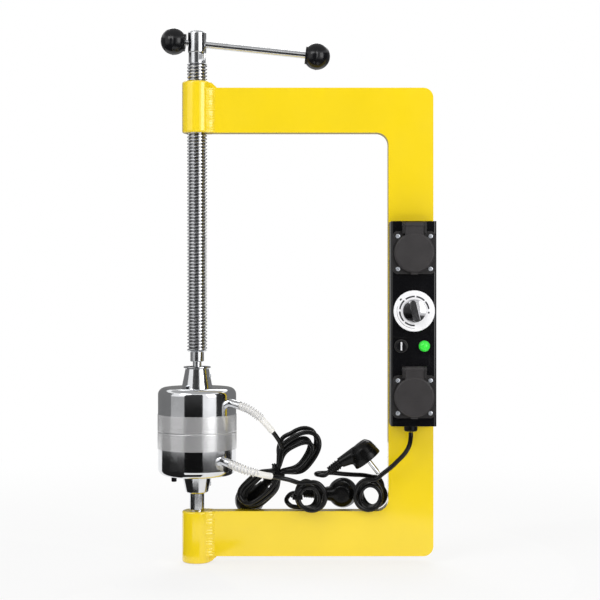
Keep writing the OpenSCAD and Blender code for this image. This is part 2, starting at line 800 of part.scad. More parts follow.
module lower_tube() {
  color(chrome) lower_frame() lead_tube(lower_tube_turn, lower_tube_h, -tube_dip);
}
module lower_spring() {
  color(steel) swept(lower_spring_path, spring_wire, 6, 0, len(lower_spring_path) - 1);
}
module lower_sleeve() {
  color(white) swept(lower_path, sleeve_d, 8, 0, sleeve_end);
}
module lower_lead() {
  color(cord_black) swept(lower_path, cord_d, 8, sleeve_end, len(lower_in) - 1);
}
module lower_hank() {
  color(cord_black) swept(lower_path, cord_d, 6, len(lower_in) - 1, len(lower_path) - 1);
}
module lower_tie() {
  strands = [for (k = [0 : floor(oval_turns) - 1]) oval_point(k + 0.75)];
  across = [for (p = strands) p.x];
  back = [for (p = strands) p.y];
  middle = [max(across) + min(across), max(back) + min(back)] / 2;
  half = [max(across) - min(across), max(back) - min(back)] / 2;
  color(black) translate([middle.x, middle.y, oval_start.z]) mirror([1, 0, 0])
    tie_band(half.x + strand_room + curve_room, half.y + strand_room + curve_room);
}

// Right-angle plug in its own frame: the face at 0, the pins up and the boot towards -X
module plug_body() {
  rib_count = 5;
  rib_w = 1.6;
  rib_gap = 1.3;
  ribs = rib_count * (rib_w + rib_gap);
  notch = 5;
  neck = boot_reach - ribs - 2;
  difference() {
    union() {
      translate([0, 0, -plug_fin]) rotate_extrude() turned(plug_d / 2, 0, plug_fin, 0, 1);
      hull($fn = hull_fn) {
        translate([0, 0, -plug_fin]) cylinder(r = plug_d / 2 - 0.4, h = 1);
        translate([1, 0, -plug_depth + 6]) cylinder(r = plug_d / 2 - 2.5, h = 1);
        translate([2, 0, -plug_depth]) cylinder(r = plug_d / 2 - 8, h = 1);
      }
      hull($fn = hull_fn) {
        translate([-4, 0, -plug_depth + 7]) sphere(7);
        translate([-neck, 0, -boot_depth]) rotate([0, 90, 0]) cylinder(r = boot_r + 0.6, h = 1);
        translate([-8, 0, -plug_depth + 9]) rotate([0, 90, 0]) cylinder(r = 10, h = 4);
      }
    }
    for (x = [-1, 1]) translate([x * plug_d / 2, 0, 0])
      cube([notch, notch, 2 * plug_fin - 2], center = true);
  }
  translate([-boot_reach, 0, -boot_depth]) rotate([0, 90, 0]) {
    cylinder(r = boot_r - 1, h = ribs + 4);
    for (i = [0 : rib_count - 1]) translate([0, 0, i * (rib_w + rib_gap)])
      cylinder(r = mix(boot_r - 0.4, boot_r + 0.4, i / rib_count), h = rib_w);
  }
}
module plug_metal() {
  strip = 4;
  for (y = [-1, 1]) translate([0, y * plug_pitch / 2, 0]) rotate_extrude()
    turned(plug_pin_d / 2, 0, plug_pin_len, 0, plug_pin_d / 5);
  for (x = [-1, 1]) translate([x * (plug_d / 2 - 2), 0, -strip])
    cube([1, strip, 2 * strip - 3], center = true);
}
module upper_plug() {
  color(black) placed(upper_plug_at, -upper_boot_way, upper_pin_way) plug_body();
}
module upper_plug_pins() {
  color(chrome) placed(upper_plug_at, -upper_boot_way, upper_pin_way) plug_metal();
}
module lower_plug() {
  color(black) placed(lower_plug_at, -lower_boot_way, lower_pin_way) plug_body();
}
module lower_plug_pins() {
  color(chrome) placed(lower_plug_at, -lower_boot_way, lower_pin_way) plug_metal();
}
module mains_plug() {
  color(black) placed(mains_plug_at, -mains_boot_way, mains_pin_way) plug_body();
}
module mains_plug_pins() {
  color(chrome) placed(mains_plug_at, -mains_boot_way, mains_pin_way) plug_metal();
}

// Control box: a folded sheet open at the back, with two inner tabs for its screws
module box_profile(w, d, r) {
  translate([-w / 2, -d + r]) square([w, d - r]);
  translate([-w / 2 + r, -d]) square([w - 2 * r, r]);
  for (x = [-1, 1]) translate([x * (w / 2 - r), -d + r]) circle(r);
}
module box_housing() {
  tab_half = 10;
  color(black) difference() {
    union() {
      difference() {
        translate([box_x, front_y, box_z]) linear_extrude(box_h) box_profile(box_w, box_d, box_fold);
        translate([box_x, front_y + 1, box_z + sheet]) linear_extrude(box_h - 2 * sheet)
          box_profile(box_w - 2 * sheet, box_d - sheet + 1, box_fold - sheet);
      }
      for (z = box_screw_z) translate([box_x - tab_half, front_y - sheet, z - box_tab_h / 2 - eps])
        cube([2 * tab_half, sheet, box_tab_h + 2 * eps]);
    }
    for (h = [upper_socket_h, lower_socket_h]) on_panel(0, h) bore(socket_r + slack, -3 * sheet, 1);
    on_panel(0, dial_h) bore(shaft_d, -3 * sheet, 1);
    on_panel(fuse_shift, small_row_h) bore(fuse_holder_d / 2 + 2 * running, -3 * sheet, 1);
    on_panel(lamp_shift, small_row_h) bore(lamp_d / 2 - 2 + running, -3 * sheet, 1);
    translate([box_x + gland_shift, gland_y, box_z]) bore(cord_d / 2 + 3.25 + running, -1, 3 * sheet);
    for (z = box_screw_z) translate([box_x, front_y, z]) rotate([90, 0, 0])
      bore(box_screw_d / 2 + running, -1, 3 * sheet);
  }
}
module box_screws() {
  color(steel) for (z = box_screw_z) translate([box_x, front_y - sheet, z]) rotate([90, 0, 0]) {
    rotate_extrude() turned(box_screw_d, 0, 0.6 * box_screw_d, 0, 1);
    bore(box_screw_d / 2, -sheet - 0.6 * plate_t, eps);
  }
}

// Socket in its panel's frame: flange, well, contact holes and hinge ears
contact_r = 3.4;
clip_w = 6;
clip_t = 1;
module socket_ears() {
  inner = tab_w / 2 + ear_gap;
  for (x = [-1, 1]) translate([x * (inner + ear_w / 2), 0, 0]) rotate([0, 90, 0])
    linear_extrude(ear_w, center = true) mirror([1, 0]) {
      translate([-hinge_y, hinge_rise]) circle(hinge_r);
      translate([0, flange_w / 2 - 3]) square([hinge_r - hinge_y, hinge_rise - flange_w / 2 + 3]);
      translate([0, hinge_rise - eps]) square([-hinge_y, hinge_r + eps]);
    }
}
module socket() {
  floor_z = flange_t - well_depth;
  difference() {
    union() {
      linear_extrude(flange_t) round_square(flange_w, flange_w, 6);
      bore(socket_r, -socket_body_h, eps);
      socket_ears();
    }
    bore(well_d / 2, floor_z, flange_t + 1);
    for (x = [-1, 1]) translate([x * plug_pitch / 2, 0, 0]) {
      bore(plug_pin_d / 2 + slack, floor_z - 4, floor_z + 1);
      bore(contact_r + running, -socket_body_h - 1, floor_z - 3);
    }
    for (y = [-1, 1]) translate([0, y * well_d / 2, flange_t - 2 - well_depth / 2])
      cube([clip_w + 2 * running, 2 * (clip_t + running), well_depth - 4], center = true);
    for (x = [-1, 1], y = [-1, 1]) translate([x, y, 0] * flange_pitch / 2) bore(1.95, -1, flange_t + 1);
    translate([0, hinge_rise, -hinge_y]) rotate([0, 90, 0])
      cylinder(d = hinge_pin_d + 2 * running, h = 2 * flange_w, center = true);
  }
}
module contacts() {
  floor_z = flange_t - well_depth;
  for (x = [-1, 1]) translate([x * plug_pitch / 2, 0, 0]) difference() {
    bore(contact_r, -socket_body_h, floor_z - 3 - running);
    bore(plug_pin_d / 2 + running, -socket_body_h - 1, floor_z);
  }
  for (y = [-1, 1]) translate([0, y * (well_d / 2 + clip_t / 2), flange_t - 2 - well_depth / 2])
    cube([clip_w, clip_t, well_depth - 4 - 2 * running], center = true);
}
module flange_screws() {
  for (x = [-1, 1], y = [-1, 1]) translate([x * flange_pitch / 2, y * flange_pitch / 2, 0]) {
    bore(1.7, 0, flange_t + eps);
    translate([0, 0, flange_t]) rotate_extrude() turned(2.6, 0, 1.2, 0, 0.6);
  }
}
module socket_pin() {
  translate([0, hinge_rise, -hinge_y]) rotate([0, 90, 0])
    cylinder(d = hinge_pin_d, h = tab_w + 2 * (ear_gap + ear_w), center = true);
}
module lid() {
  low = flange_t + lid_gap;
  lip = 8;
  difference() {
    union() {
      difference() {
        translate([0, 0, low]) rotate_extrude() turned(lid_d / 2, 0, lid_t, 0, 2.5);
        for (x = [-1, 1], y = [-1, 1]) translate([x, y, 0] * flange_pitch / 2) bore(3.4, 0, low + 1.6);
      }
      translate([-tab_w / 2, lid_d / 4, low + 1]) cube([tab_w, hinge_rise - lid_d / 4, lid_t - 2]);
      translate([0, hinge_rise, -hinge_y]) rotate([0, 90, 0])
        cylinder(r = hinge_r - 0.2, h = tab_w, center = true);
      translate([-lip / 2, -lid_d / 2 - 2, low + 1]) cube([lip, 6, lid_t - 3]);
    }
    translate([0, hinge_rise, -hinge_y]) rotate([0, 90, 0])
      cylinder(d = hinge_pin_d + 2 * running, h = 2 * tab_w, center = true);
  }
}
module upper_socket() {
  color(black) on_panel(0, upper_socket_h) socket();
}
module lower_socket() {
  color(black) on_panel(0, lower_socket_h) socket();
}
module socket_contacts() {
  color(brass) for (h = [upper_socket_h, lower_socket_h]) on_panel(0, h) contacts();
}
module socket_screws() {
  color(steel) for (h = [upper_socket_h, lower_socket_h]) on_panel(0, h) flange_screws();
}
module lid_pins() {
  color(steel) for (h = [upper_socket_h, lower_socket_h]) on_panel(0, h) socket_pin();
}
module upper_lid() {
  color(black) on_panel(0, upper_socket_h) lid();
}
module lower_lid() {
  color(black) on_panel(0, lower_socket_h) lid();
}

// Dial on the thermostat's bush
bush_r = shaft_d - running;
disc_low = nut_h + 1;
disc_t = 2.5;
knob_h = 6;
grip_h = 7;
grip_w = 8;
grip_turn = 14;
module thermostat() {
  body = [40, 34, 20];
  color(steel) on_panel(0, dial_h) difference() {
    union() {
      translate([-body.x / 2, -body.y / 2, -sheet - body.z]) cube(body);
      bore(bush_r, -sheet - eps, nut_h);
      cylinder(d = nut_af / cos(30), h = nut_h, $fn = 6);
    }
    bore(shaft_d / 2 + running, -sheet - body.z / 2, nut_h + 1);
  }
}
module dial_disc() {
  color(white) on_panel(0, dial_h) difference() {
    translate([0, 0, disc_low]) rotate_extrude() turned(dial_d / 2, 0, disc_t, 0, 1);
    bore(knob_d / 2 - 4, 0, disc_low + disc_t + 1);
  }
}
module dial_grip() {
  knob_low = disc_low + disc_t;
  color(steel) on_panel(0, dial_h) rotate([0, 0, grip_turn]) {
    bore(knob_d / 2 - 4 - running, disc_low, knob_low + eps);
    bore(shaft_d / 2, -sheet - 8, knob_low);
    rotate_extrude() turned(knob_d / 2, knob_low, knob_low + knob_h, 0, 1.2);
    translate([0, 0, knob_low + knob_h - eps]) linear_extrude(grip_h)
      round_square(grip_w, knob_d - 1, grip_w / 2 - 0.5);
  }
}

// Fuse holder with its cap and fuse, and the lamp
fuse_cap_in = 12;
fuse_rim = 3;
fuse_in_cap = 3.5;
fuse_low = fuse_rim - fuse_cap_in + fuse_in_cap - fuse_len;
module fuse_holder() {
  color(black) on_panel(fuse_shift, small_row_h) difference() {
    union() {
      rotate_extrude() turned(8, 0, fuse_rim, 0, 0.8);
      bore(fuse_holder_d / 2, fuse_low - slack - 2, eps);
      translate([0, 0, -sheet - 3]) cylinder(d = 16 / cos(30), h = 3, $fn = 6);
    }
    bore(4 + running, fuse_rim - fuse_cap_in, fuse_rim + 1);
    bore(fuse_d / 2 + 2 * running, fuse_low - slack, fuse_rim);
  }
}
module fuse_cap() {
  color(black) on_panel(fuse_shift, small_row_h) difference() {
    union() {
      bore(4, fuse_rim - fuse_cap_in + slack, fuse_rim + 1);
      translate([0, 0, fuse_rim + slack]) rotate_extrude() turned(6, 0, 3.5, 0, 0.8);
    }
    translate([-1, -7, fuse_rim + slack + 2.5]) cube([2, 14, 2]);
    bore(fuse_d / 2 + running, fuse_rim - fuse_cap_in - 1, fuse_rim - fuse_cap_in + 4);
  }
}
module fuse() {
  color(white) on_panel(fuse_shift, small_row_h)
    bore(fuse_d / 2, fuse_low, fuse_low + fuse_len);
}
module lamp_body() {
  color(black) on_panel(lamp_shift, small_row_h) {
    rotate_extrude() turned(lamp_d / 2, 0, 1.5, 0, 0.5);
    bore(lamp_d / 2 - 2, -20, eps);
  }
}
module lamp_lens() {
  dome = 4;
  base = lamp_d / 2 - 0.6;
  dome_r = (base * base + dome * dome) / (2 * dome);
  color(green) on_panel(lamp_shift, small_row_h) {
    bore(base, 1.5, 3);
    rotate_extrude() translate([0, 3 - eps]) intersection() {
      translate([0, dome - dome_r]) circle(dome_r);
      square([base, dome]);
    }
  }
}

// Gland under the box, and the mains lead
module cable_gland() {
  color(black) translate([box_x + gland_shift, gland_y, box_z]) difference() {
    union() {
      rotate_extrude() turned(8, -gland_h, 0, 2.5, 0);
      bore(cord_d / 2 + 3.25, -eps, sheet + 5);
      translate([0, 0, sheet]) cylinder(d = 15 / cos(30), h = 4, $fn = 6);
    }
    bore(cord_d / 2 + running, -gland_h - 1, sheet + 6);
  }
}
module mains_lead() {
  color(cord_black) swept(mains_path, cord_d, 8, 0, len(mains_in) - 1);
}
module mains_coil() {
  color(cord_black) swept(mains_path, cord_d, 6, len(mains_in) - 1, len(mains_path) - 1);
}

c_frame();
upper_boss();
lower_boss();
weld_beads();
lead_screw();
tommy_bar();
ball_knobs();
upper_hub();
upper_hub_screw();
upper_cap();
upper_plate();
upper_heater();
upper_insulation();
upper_tube();
upper_spring();
upper_sleeve();
upper_lead();
upper_hank();
upper_tie();
upper_plug();
upper_plug_pins();
lower_pin();
lower_hub();
lower_hub_screw();
lower_cap();
lower_cap_screw();
lower_plate();
lower_heater();
lower_insulation();
lower_tube();
lower_spring();
lower_sleeve();
lower_lead();
lower_hank();
lower_tie();
lower_plug();
lower_plug_pins();
box_housing();
box_screws();
upper_socket();
lower_socket();
socket_contacts();
socket_screws();
lid_pins();
upper_lid();
lower_lid();
thermostat();
dial_disc();
dial_grip();
fuse_holder();
fuse_cap();
fuse();
lamp_body();
lamp_lens();
cable_gland();
mains_lead();
mains_coil();
mains_plug();
mains_plug_pins();
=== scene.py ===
import json
import math

import bmesh
import bpy
from mathutils import Matrix, Vector

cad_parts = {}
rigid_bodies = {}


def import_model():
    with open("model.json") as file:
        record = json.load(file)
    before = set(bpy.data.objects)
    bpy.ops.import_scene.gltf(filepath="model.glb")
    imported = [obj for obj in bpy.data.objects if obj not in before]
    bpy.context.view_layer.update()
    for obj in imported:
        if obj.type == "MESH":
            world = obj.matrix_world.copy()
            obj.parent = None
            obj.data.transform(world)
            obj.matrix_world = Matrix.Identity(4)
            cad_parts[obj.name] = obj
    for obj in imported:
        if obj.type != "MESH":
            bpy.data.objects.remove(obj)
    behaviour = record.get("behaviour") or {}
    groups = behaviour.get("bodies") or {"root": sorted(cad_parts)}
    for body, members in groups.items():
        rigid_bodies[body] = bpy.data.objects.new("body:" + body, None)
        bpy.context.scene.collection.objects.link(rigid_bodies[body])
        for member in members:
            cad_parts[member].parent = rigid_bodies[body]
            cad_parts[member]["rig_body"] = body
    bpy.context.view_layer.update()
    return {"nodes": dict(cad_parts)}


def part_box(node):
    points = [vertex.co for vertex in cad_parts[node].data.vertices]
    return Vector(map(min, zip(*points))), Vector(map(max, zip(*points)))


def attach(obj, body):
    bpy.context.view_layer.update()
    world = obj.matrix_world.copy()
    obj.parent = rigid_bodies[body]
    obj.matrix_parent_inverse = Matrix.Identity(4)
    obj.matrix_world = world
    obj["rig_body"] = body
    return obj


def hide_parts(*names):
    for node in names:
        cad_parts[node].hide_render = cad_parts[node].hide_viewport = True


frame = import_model()
NODES = frame["nodes"]

bl_info = {
    "name": "Tire Vulcanizer",
    "version": (1, 0, 0),
    "blender": (4, 5, 0),
    "location": "View3D > Sidebar > Vulcanizer",
    "description": "Finishes a C-frame tire vulcanizer: paint, chrome, thread, leads and control box",
    "category": "Object",
}

# Levels and places of the press in metres, as the solids have them
LOWER_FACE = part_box("lower_plate")[1].z
UPPER_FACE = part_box("upper_plate")[0].z
PLATE_HALF, BOSS_R = 0.009, 0.018
SCREW_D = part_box("lead_screw")[1].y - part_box("lead_screw")[0].y
THREAD_LOW, THREAD_HIGH = 0.2547, 0.599
BAR_Z, BAR_DROOP = 0.624, math.radians(6)
BAR_LEFT, BAR_RIGHT = 0.028, 0.145
PANEL_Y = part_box("box_housing")[0].y
BOX_X = (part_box("box_housing")[0].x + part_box("box_housing")[1].x) / 2
SOCKET_Z, FLANGE_SPREAD, FLANGE = (0.371, 0.203), 0.019, 0.004
DIAL_Z, DIAL_FACE = 0.303, PANEL_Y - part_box("dial_disc")[0].y
KNOB_D, GRIP_TURN = 0.027, math.radians(14)
FUSE_X, FUSE_Z = BOX_X - 0.015, 0.262
SLOT_STRIP, STRIP_OUT = (0.0019, 0.0096, 0.0004), 0.0059

# Edges that are sharper than an angle get rounded: fine ones, lids and the fuse holder's rim
SHARP = math.radians(35)
FINE_EDGE, LID_EDGE, RIM_EDGE = 0.0002, 0.0004, 0.0006

# A CAD copy's loose triangles are merged within a distance, and flat ones dissolved below an angle
MERGE, FLAT = 2e-6, math.radians(0.3)

# Welds: their ripples, their reach along the plate and round the boss, where they start and end
RIPPLE_STEP, RIPPLE_LENGTH = 0.0004, 0.0032
WELD_LEG, WELD_ARC, WELD_SHY = 0.0062, 0.006, 0.0002
LOWER_WELD_START, UPPER_WELD_LEN, ARM_WELD_STEPS = 0.0082, 0.0538, 24

# Routes of the leads, as the solids have them
UPPER_ROUTE = [(0.064, -0.033, 0.186), (0.074, -0.035, 0.179), (0.083, -0.033, 0.170),
               (0.091, -0.028, 0.160), (0.097, -0.021, 0.151), (0.101, -0.014, 0.143)]
LOWER_ROUTE = [(0.055, -0.053, 0.119), (0.068, -0.055, 0.115), (0.080, -0.048, 0.111),
               (0.090, -0.039, 0.108), (0.101, -0.032, 0.105), (0.112, -0.028, 0.102),
               (0.123, -0.027, 0.0985)]
MAINS_ROUTE = [(0.255, -0.0315, 0.159), (0.255, -0.0315, 0.152), (0.253, -0.030, 0.142),
               (0.248, -0.027, 0.133), (0.241, -0.024, 0.125), (0.233, -0.022, 0.117),
               (0.223, -0.0215, 0.109)]
UPPER_TAIL = [(0.103, 0.017, 0.147), (0.098, 0.0185, 0.134), (0.0988, 0.019, 0.120)]
LOWER_TAIL = [(0.121, 0.001, 0.0654), (0.1125, 0.0026, 0.067), (0.1075, 0.0085, 0.0727),
              (0.1125, 0.015, 0.079)]
MAINS_TAIL = [(0.201, 0.015, 0.102), (0.189, 0.016, 0.1025), (0.176, 0.0155, 0.1035),
              (0.163, 0.014, 0.105), (0.153, 0.0128, 0.105), (0.1463, 0.010, 0.105),
              (0.1435, 0.0033, 0.105), (0.1463, -0.0034, 0.105)]
# Steps between two points of a route, for cords and for sleeves
ROUTE_STEPS, SLEEVE_STEPS = 8, 40

# Chrome tubes: start, length and dip, how far a lead reaches in, and each one's direction and height
TUBE_START, TUBE_LEN, TUBE_DIP = 0.0438, 0.017, math.radians(12)
LEAD_INSIDE = 0.008
UPPER_TUBE = (math.radians(-28), UPPER_FACE + 0.036)
LOWER_TUBE = (math.radians(-45), LOWER_FACE - 0.031)
# Where the sleeve ends and the spring starts and ends, counted in points of the route from the tube
SLEEVE_END, SPRING_START, SPRING_END = 5, 1.1, 3.4

# Top of the lower arm, the level that loops rest on, and points in each turn
ARM_TOP, LOOP_REST, LOOP_POINTS = 0.062, 0.065, 120
# Bow-shaped hank; each lobe has a length, a half width and a fullness
BOW_LAYERS, BOW_SPREAD, BOW_PITCH = 4, 0.0115, 0.0066
BOW_TIE = Vector((0.098, 0, LOOP_REST + 0.0441))
BOW_SLOPE, BOW_FAN = math.radians(42.5), math.radians(3.2)
BOW_LOW, BOW_HIGH = Vector((0.0495, 0.008, 0.9)), Vector((0.051, 0.0125, 0.25))
BOW_BLEND, BOW_DRAW, BOW_CLOSE, BOW_PINCH = 0.060, 0.74, 0.9, 0.014
BOW_TURNS = (5 / 24, BOW_LAYERS + 3 / 24)
# Oval hank and coil: first centre, half sizes, way round, step a turn and rates of wander
OVAL = (Vector((0.139, -0.0268, LOOP_REST + 0.015)), (0.014, 0.015), -1,
        Vector((-0.0022, 0.0076, 0)), (205, 150))
COIL = (Vector((0.205, -0.0215, LOOP_REST + 0.016)), (0.0138, 0.016), 1,
        Vector((0.0016, 0.007, 0)), (215, 160))
OVAL_TURNS, COIL_TURNS, WANDER = 3.5, 5, 0.0024

# Plugs: the middle of the face, the way to the boot and the way of the pins
PLUG_SLOPE, PLUG_TURN, MAINS_TILT = math.radians(48), math.radians(14.5), math.radians(38)
UPPER_PLUG = (Vector((0.062, 0.037, 0.069)),
              Vector((math.cos(PLUG_SLOPE), 0, math.sin(PLUG_SLOPE))), Vector((0, 1, 0)))
LOWER_PLUG = (Vector((0.177, 0.021, ARM_TOP + 0.0185)),
              Vector((-math.cos(PLUG_TURN), math.sin(PLUG_TURN), 0)),
              Vector((math.sin(PLUG_TURN), math.cos(PLUG_TURN), 0)))
MAINS_PLUG = (Vector((0.206, -0.006, 0.123)),
              Vector((-math.cos(MAINS_TILT), 0, -math.sin(MAINS_TILT))),
              Vector((math.sin(MAINS_TILT), 0, -math.cos(MAINS_TILT))))
BOOT_DEPTH, BOOT_REACH = 0.018, 0.045
# Skin of the plugs: its step, the body's reach, the band at the face that stays crisp, and smoothing
SKIN_STEP, BODY_REACH, FACE_BAND = 0.00045, 0.028, 0.004
CRISP_PASSES, BODY_PASSES = 2, 60

# Camera at the photo's angle
CAMERA_PLACE, LENS, SENSOR, LENS_SHIFT = (0.124, -1.7, 0.333), 84.6, 36, -0.0246
# Lamps: place, aim, width, height, power, and whether polish reflects them
PRESS_MIDDLE, ARM_MIDDLE = (0.1, 0, 0.3), (0.15, 0, 0)
LAMPS = (
    ("key_light", (-0.9, -1.3, 1.5), PRESS_MIDDLE, 1.0, 1.0, 11.5, True),
    ("fill_light", (1.3, -1.2, 0.7), PRESS_MIDDLE, 0.8, 1.2, 9, True),
    ("back_light", (0.2, 1.2, 1.4), PRESS_MIDDLE, 1.2, 0.8, 10, True),
    ("low_light", (0.25, -1.4, 0.1), ARM_MIDDLE, 1.2, 0.15, 2.2, False))
# Cards about the press axis: two (radius, height) ends, two angles right of the front, and a glow
CARD_R, CARD_TOP, CEILING, ON_FLOOR = 1.3, 1.1, 1.5, 0.0004
UPRIGHT = ((CARD_R, 0), (CARD_R, CARD_TOP))
CARDS = (
    ("front_low_card", ((CARD_R, 0), (CARD_R, 0.09)), -33, 20.5, 0.010),
    ("front_card", ((CARD_R, 0.09), (CARD_R, CARD_TOP)), -33, 20.5, 0.05),
    ("left_soft_card", ((CARD_R, 0.045), (CARD_R, 0.25)), -77, -33, 0.42),
    ("left_grey_card", UPRIGHT, -180, -77, 0.2),
    ("right_dark_card", UPRIGHT, 61, 100, 0.03),
    ("right_grey_card", UPRIGHT, 100, 180, 0.2),
    ("near_floor_card", ((0.05, ON_FLOOR), (0.16, ON_FLOOR)), -33, 20.5, 0.008),
    ("front_floor_card", ((0.45, ON_FLOOR), (CARD_R, ON_FLOOR)), -33, 20.5, 0.006),
    ("left_floor_card", ((0.05, ON_FLOOR), (1.27, ON_FLOOR)), -120, -33, 0.015),
    ("right_floor_card", ((0.45, ON_FLOOR), (1.2, ON_FLOOR)), 20.5, 120, 0.06),
    ("ceiling_card", ((0.02, CEILING), (CARD_R, CEILING)), -180, 180, 0.45))

# Sockets of the Mix node that hold its two colours and its result
MIX_A, MIX_B, MIX_RESULT = 6, 7, 2
WHITE, BLACK = (1, 1, 1, 1), (0, 0, 0, 1)
# Kinds of mesh elements
VERT, EDGE, FACE = bmesh.types.BMVert, bmesh.types.BMEdge, bmesh.types.BMFace


def length(name, description, default):
    return bpy.props.FloatProperty(name=name, description=description, default=default, unit="LENGTH")


def colour(name, description, default):
    return bpy.props.FloatVectorProperty(name=name, description=description, default=default, subtype="COLOR")


class VulcanizerSizes(bpy.types.PropertyGroup):
    """Sizes of the finishing details"""
    thread_pitch: length("Thread Pitch", "Travel of the screw for one turn", 0.004)
    thread_depth: length("Thread Depth", "Depth of the screw's thread", 0.0019)
    plate_bevel: length("Plate Edge", "Rounding of the frame plate's edges", 0.0009)
    small_bevel: length("Small Edge", "Rounding of the small pieces' edges", 0.0003)
    cord_diameter: length("Cord", "Diameter of the black cords", 0.0055)
    sleeve_diameter: length("Sleeve", "Diameter of the white sleeves", 0.0076)
    spring_wire: length("Spring Wire", "Wire of the strain relief springs", 0.0011)
    spring_mean: length("Spring", "Mean diameter of the springs", 0.0096)
    spring_curls: bpy.props.IntProperty(
        name="Curls", description="Curls in each spring", default=9, min=4, max=14)


class VulcanizerColours(bpy.types.PropertyGroup):
    """Colours of the finishes"""
    enamel: colour("Enamel", "Yellow frame enamel", (0.88, 0.645, 0.004))
    panel: colour("Panel", "Black box paint", (0.003, 0.003, 0.004))
    lid: colour("Lids", "Dark grey lid plastic", (0.025, 0.022, 0.023))
    ball: colour("Balls", "Black ball plastic", (0.006, 0.006, 0.007))
    cord: colour("Cords", "Black cord rubber", (0.004, 0.004, 0.004))
    sleeve: colour("Sleeves", "White braided sleeves", (0.92, 0.91, 0.88))
    chrome: colour("Chrome", "Polished chrome", (0.78, 0.79, 0.81))
    aluminium: colour("Aluminium", "Turned aluminium", (0.86, 0.86, 0.87))
    lens: colour("Lens", "Green lamp lens", (0.04, 0.72, 0.05))


def sizes():
    return bpy.context.scene.vulcanizer_sizes


def colours():
    return bpy.context.scene.vulcanizer_colours


# Node helpers

MADE = {}


def once(build):
    """Build a material or a node group the first time it is asked for."""
    def ask():
        if build.__name__ not in MADE:
            MADE[build.__name__] = build()
        return MADE[build.__name__]
    return ask


def fill(tree, node, values=None, feeds=None):
    """Set a node's input values and link what feeds it."""
    for key, value in (values or {}).items():
        node.inputs[key].default_value = value
    for key, source in (feeds or {}).items():
        tree.links.new(source, node.inputs[key])
    return node


def put(tree, kind, values=None, feeds=None, **settings):
    """Add a shader node with its settings, input values and links."""
    made = tree.nodes.new("ShaderNode" + kind)
    for key, value in settings.items():
        setattr(made, key, value)
    return fill(tree, made, values, feeds)


def maths(tree, operation, *terms):
    """Result of a Math node on numbers and sockets."""
    made = put(tree, "Math", operation=operation)
    for socket, term in zip(made.inputs, terms):
        if isinstance(term, (int, float)):
            socket.default_value = term
        else:
            tree.links.new(term, socket)
    return made.outputs["Value"]


def start_group(name, result, values):
    """A node group with a Vector, some numbers and one result; returns its tree, inputs and result."""
    tree = bpy.data.node_groups.new(name, "ShaderNodeTree")
    tree.interface.new_socket(name="Vector", in_out="INPUT", socket_type="NodeSocketVector")
    for label, value in values.items():
        socket = tree.interface.new_socket(name=label, in_out="INPUT", socket_type="NodeSocketFloat")
        socket.default_value = value
    tree.interface.new_socket(name=result, in_out="OUTPUT", socket_type="NodeSocketFloat")
    given = tree.nodes.new("NodeGroupInput")
    end = tree.nodes.new("NodeGroupOutput")
    return tree, given.outputs, end.inputs[result]


def grouped(tree, node_group, place, values):
    """Result of a node group at a place."""
    return put(tree, "Group", values, {"Vector": place}, node_tree=node_group).outputs[0]


def about_axis(tree, place):
    """Distance from the press axis, and height."""
    split = put(tree, "SeparateXYZ", feeds={"Vector": place}).outputs
    flat = put(tree, "CombineXYZ", feeds={"X": split["X"], "Y": split["Y"]})
    radius = put(tree, "VectorMath", feeds={0: flat.outputs["Vector"]}, operation="LENGTH")
    return radius.outputs["Value"], split["Z"]


@once
def mottle_group():
    """Soft blotches between two values."""
    tree, given, end = start_group("Mottle", "Value", {"Scale": 20, "Low": 0, "High": 1})
    noise = put(tree, "TexNoise", {"Detail": 5, "Roughness": 0.55},
                {"Vector": given["Vector"], "Scale": given["Scale"]})
    spread = put(tree, "MapRange", {"From Min": 0.3, "From Max": 0.7},
                 {"Value": noise.outputs["Fac"], "To Min": given["Low"], "To Max": given["High"]})
    tree.links.new(spread.outputs["Result"], end)
    return tree


@once
def grain_group():
    """Fine even grain, as a height."""
    tree, given, end = start_group("Grain", "Height", {"Scale": 1000})
    noise = put(tree, "TexNoise", feeds={"Vector": given["Vector"], "Scale": given["Scale"]})
    tree.links.new(noise.outputs["Fac"], end)
    return tree


@once
def hairline_group():
    """Fine hairline scratches in two directions, as a mask."""
    tree, given, end = start_group("Hairlines", "Mask", {"Scale": 300})
    found = []
    for turn, stretch in (((0.3, 0.2, 0.5), (1, 1, 0.03)), ((0.9, 1.1, 0.2), (0.04, 1, 1))):
        mapped = put(tree, "Mapping", {"Rotation": turn, "Scale": stretch}, {"Vector": given["Vector"]})
        noise = put(tree, "TexNoise", {"Detail": 2},
                    {"Vector": mapped.outputs["Vector"], "Scale": given["Scale"]})
        marks = put(tree, "MapRange", {"From Min": 0.66, "From Max": 0.72}, {"Value": noise.outputs["Fac"]})
        found.append(marks.outputs["Result"])
    tree.links.new(maths(tree, "MAXIMUM", *found), end)
    return tree


@once
def lathe_group():
    """Rings that a turning tool leaves about the press axis, as a height."""
    tree, given, end = start_group("Lathe Rings", "Height", {"Rings": 2000})
    along = maths(tree, "ADD", *about_axis(tree, given["Vector"]))
    rings = put(tree, "TexNoise", {"Detail": 3}, {"W": along, "Scale": given["Rings"]}, noise_dimensions="1D")
    tree.links.new(rings.outputs["Fac"], end)
    return tree


# Mask of the thread's roots, where the thread_plating finish paints shade
@once
def root_group():
    """One in the roots of a thread about the press axis, none on its crests or past its ends."""
    tree, given, end = start_group("Thread Roots", "Mask", {
        "Root": 0.010, "Crest": 0.012, "Middle": 0.4, "Half Length": 0.1})
    radius, height = about_axis(tree, given["Vector"])
    deep = put(tree, "MapRange", {"To Min": 1, "To Max": 0},
               {"Value": radius, "From Min": given["Root"], "From Max": given["Crest"]},
               interpolation_type="SMOOTHSTEP")
    inside = maths(tree, "COMPARE", height, given["Middle"], given["Half Length"])
    tree.links.new(maths(tree, "MULTIPLY", deep.outputs["Result"], inside), end)
    return tree


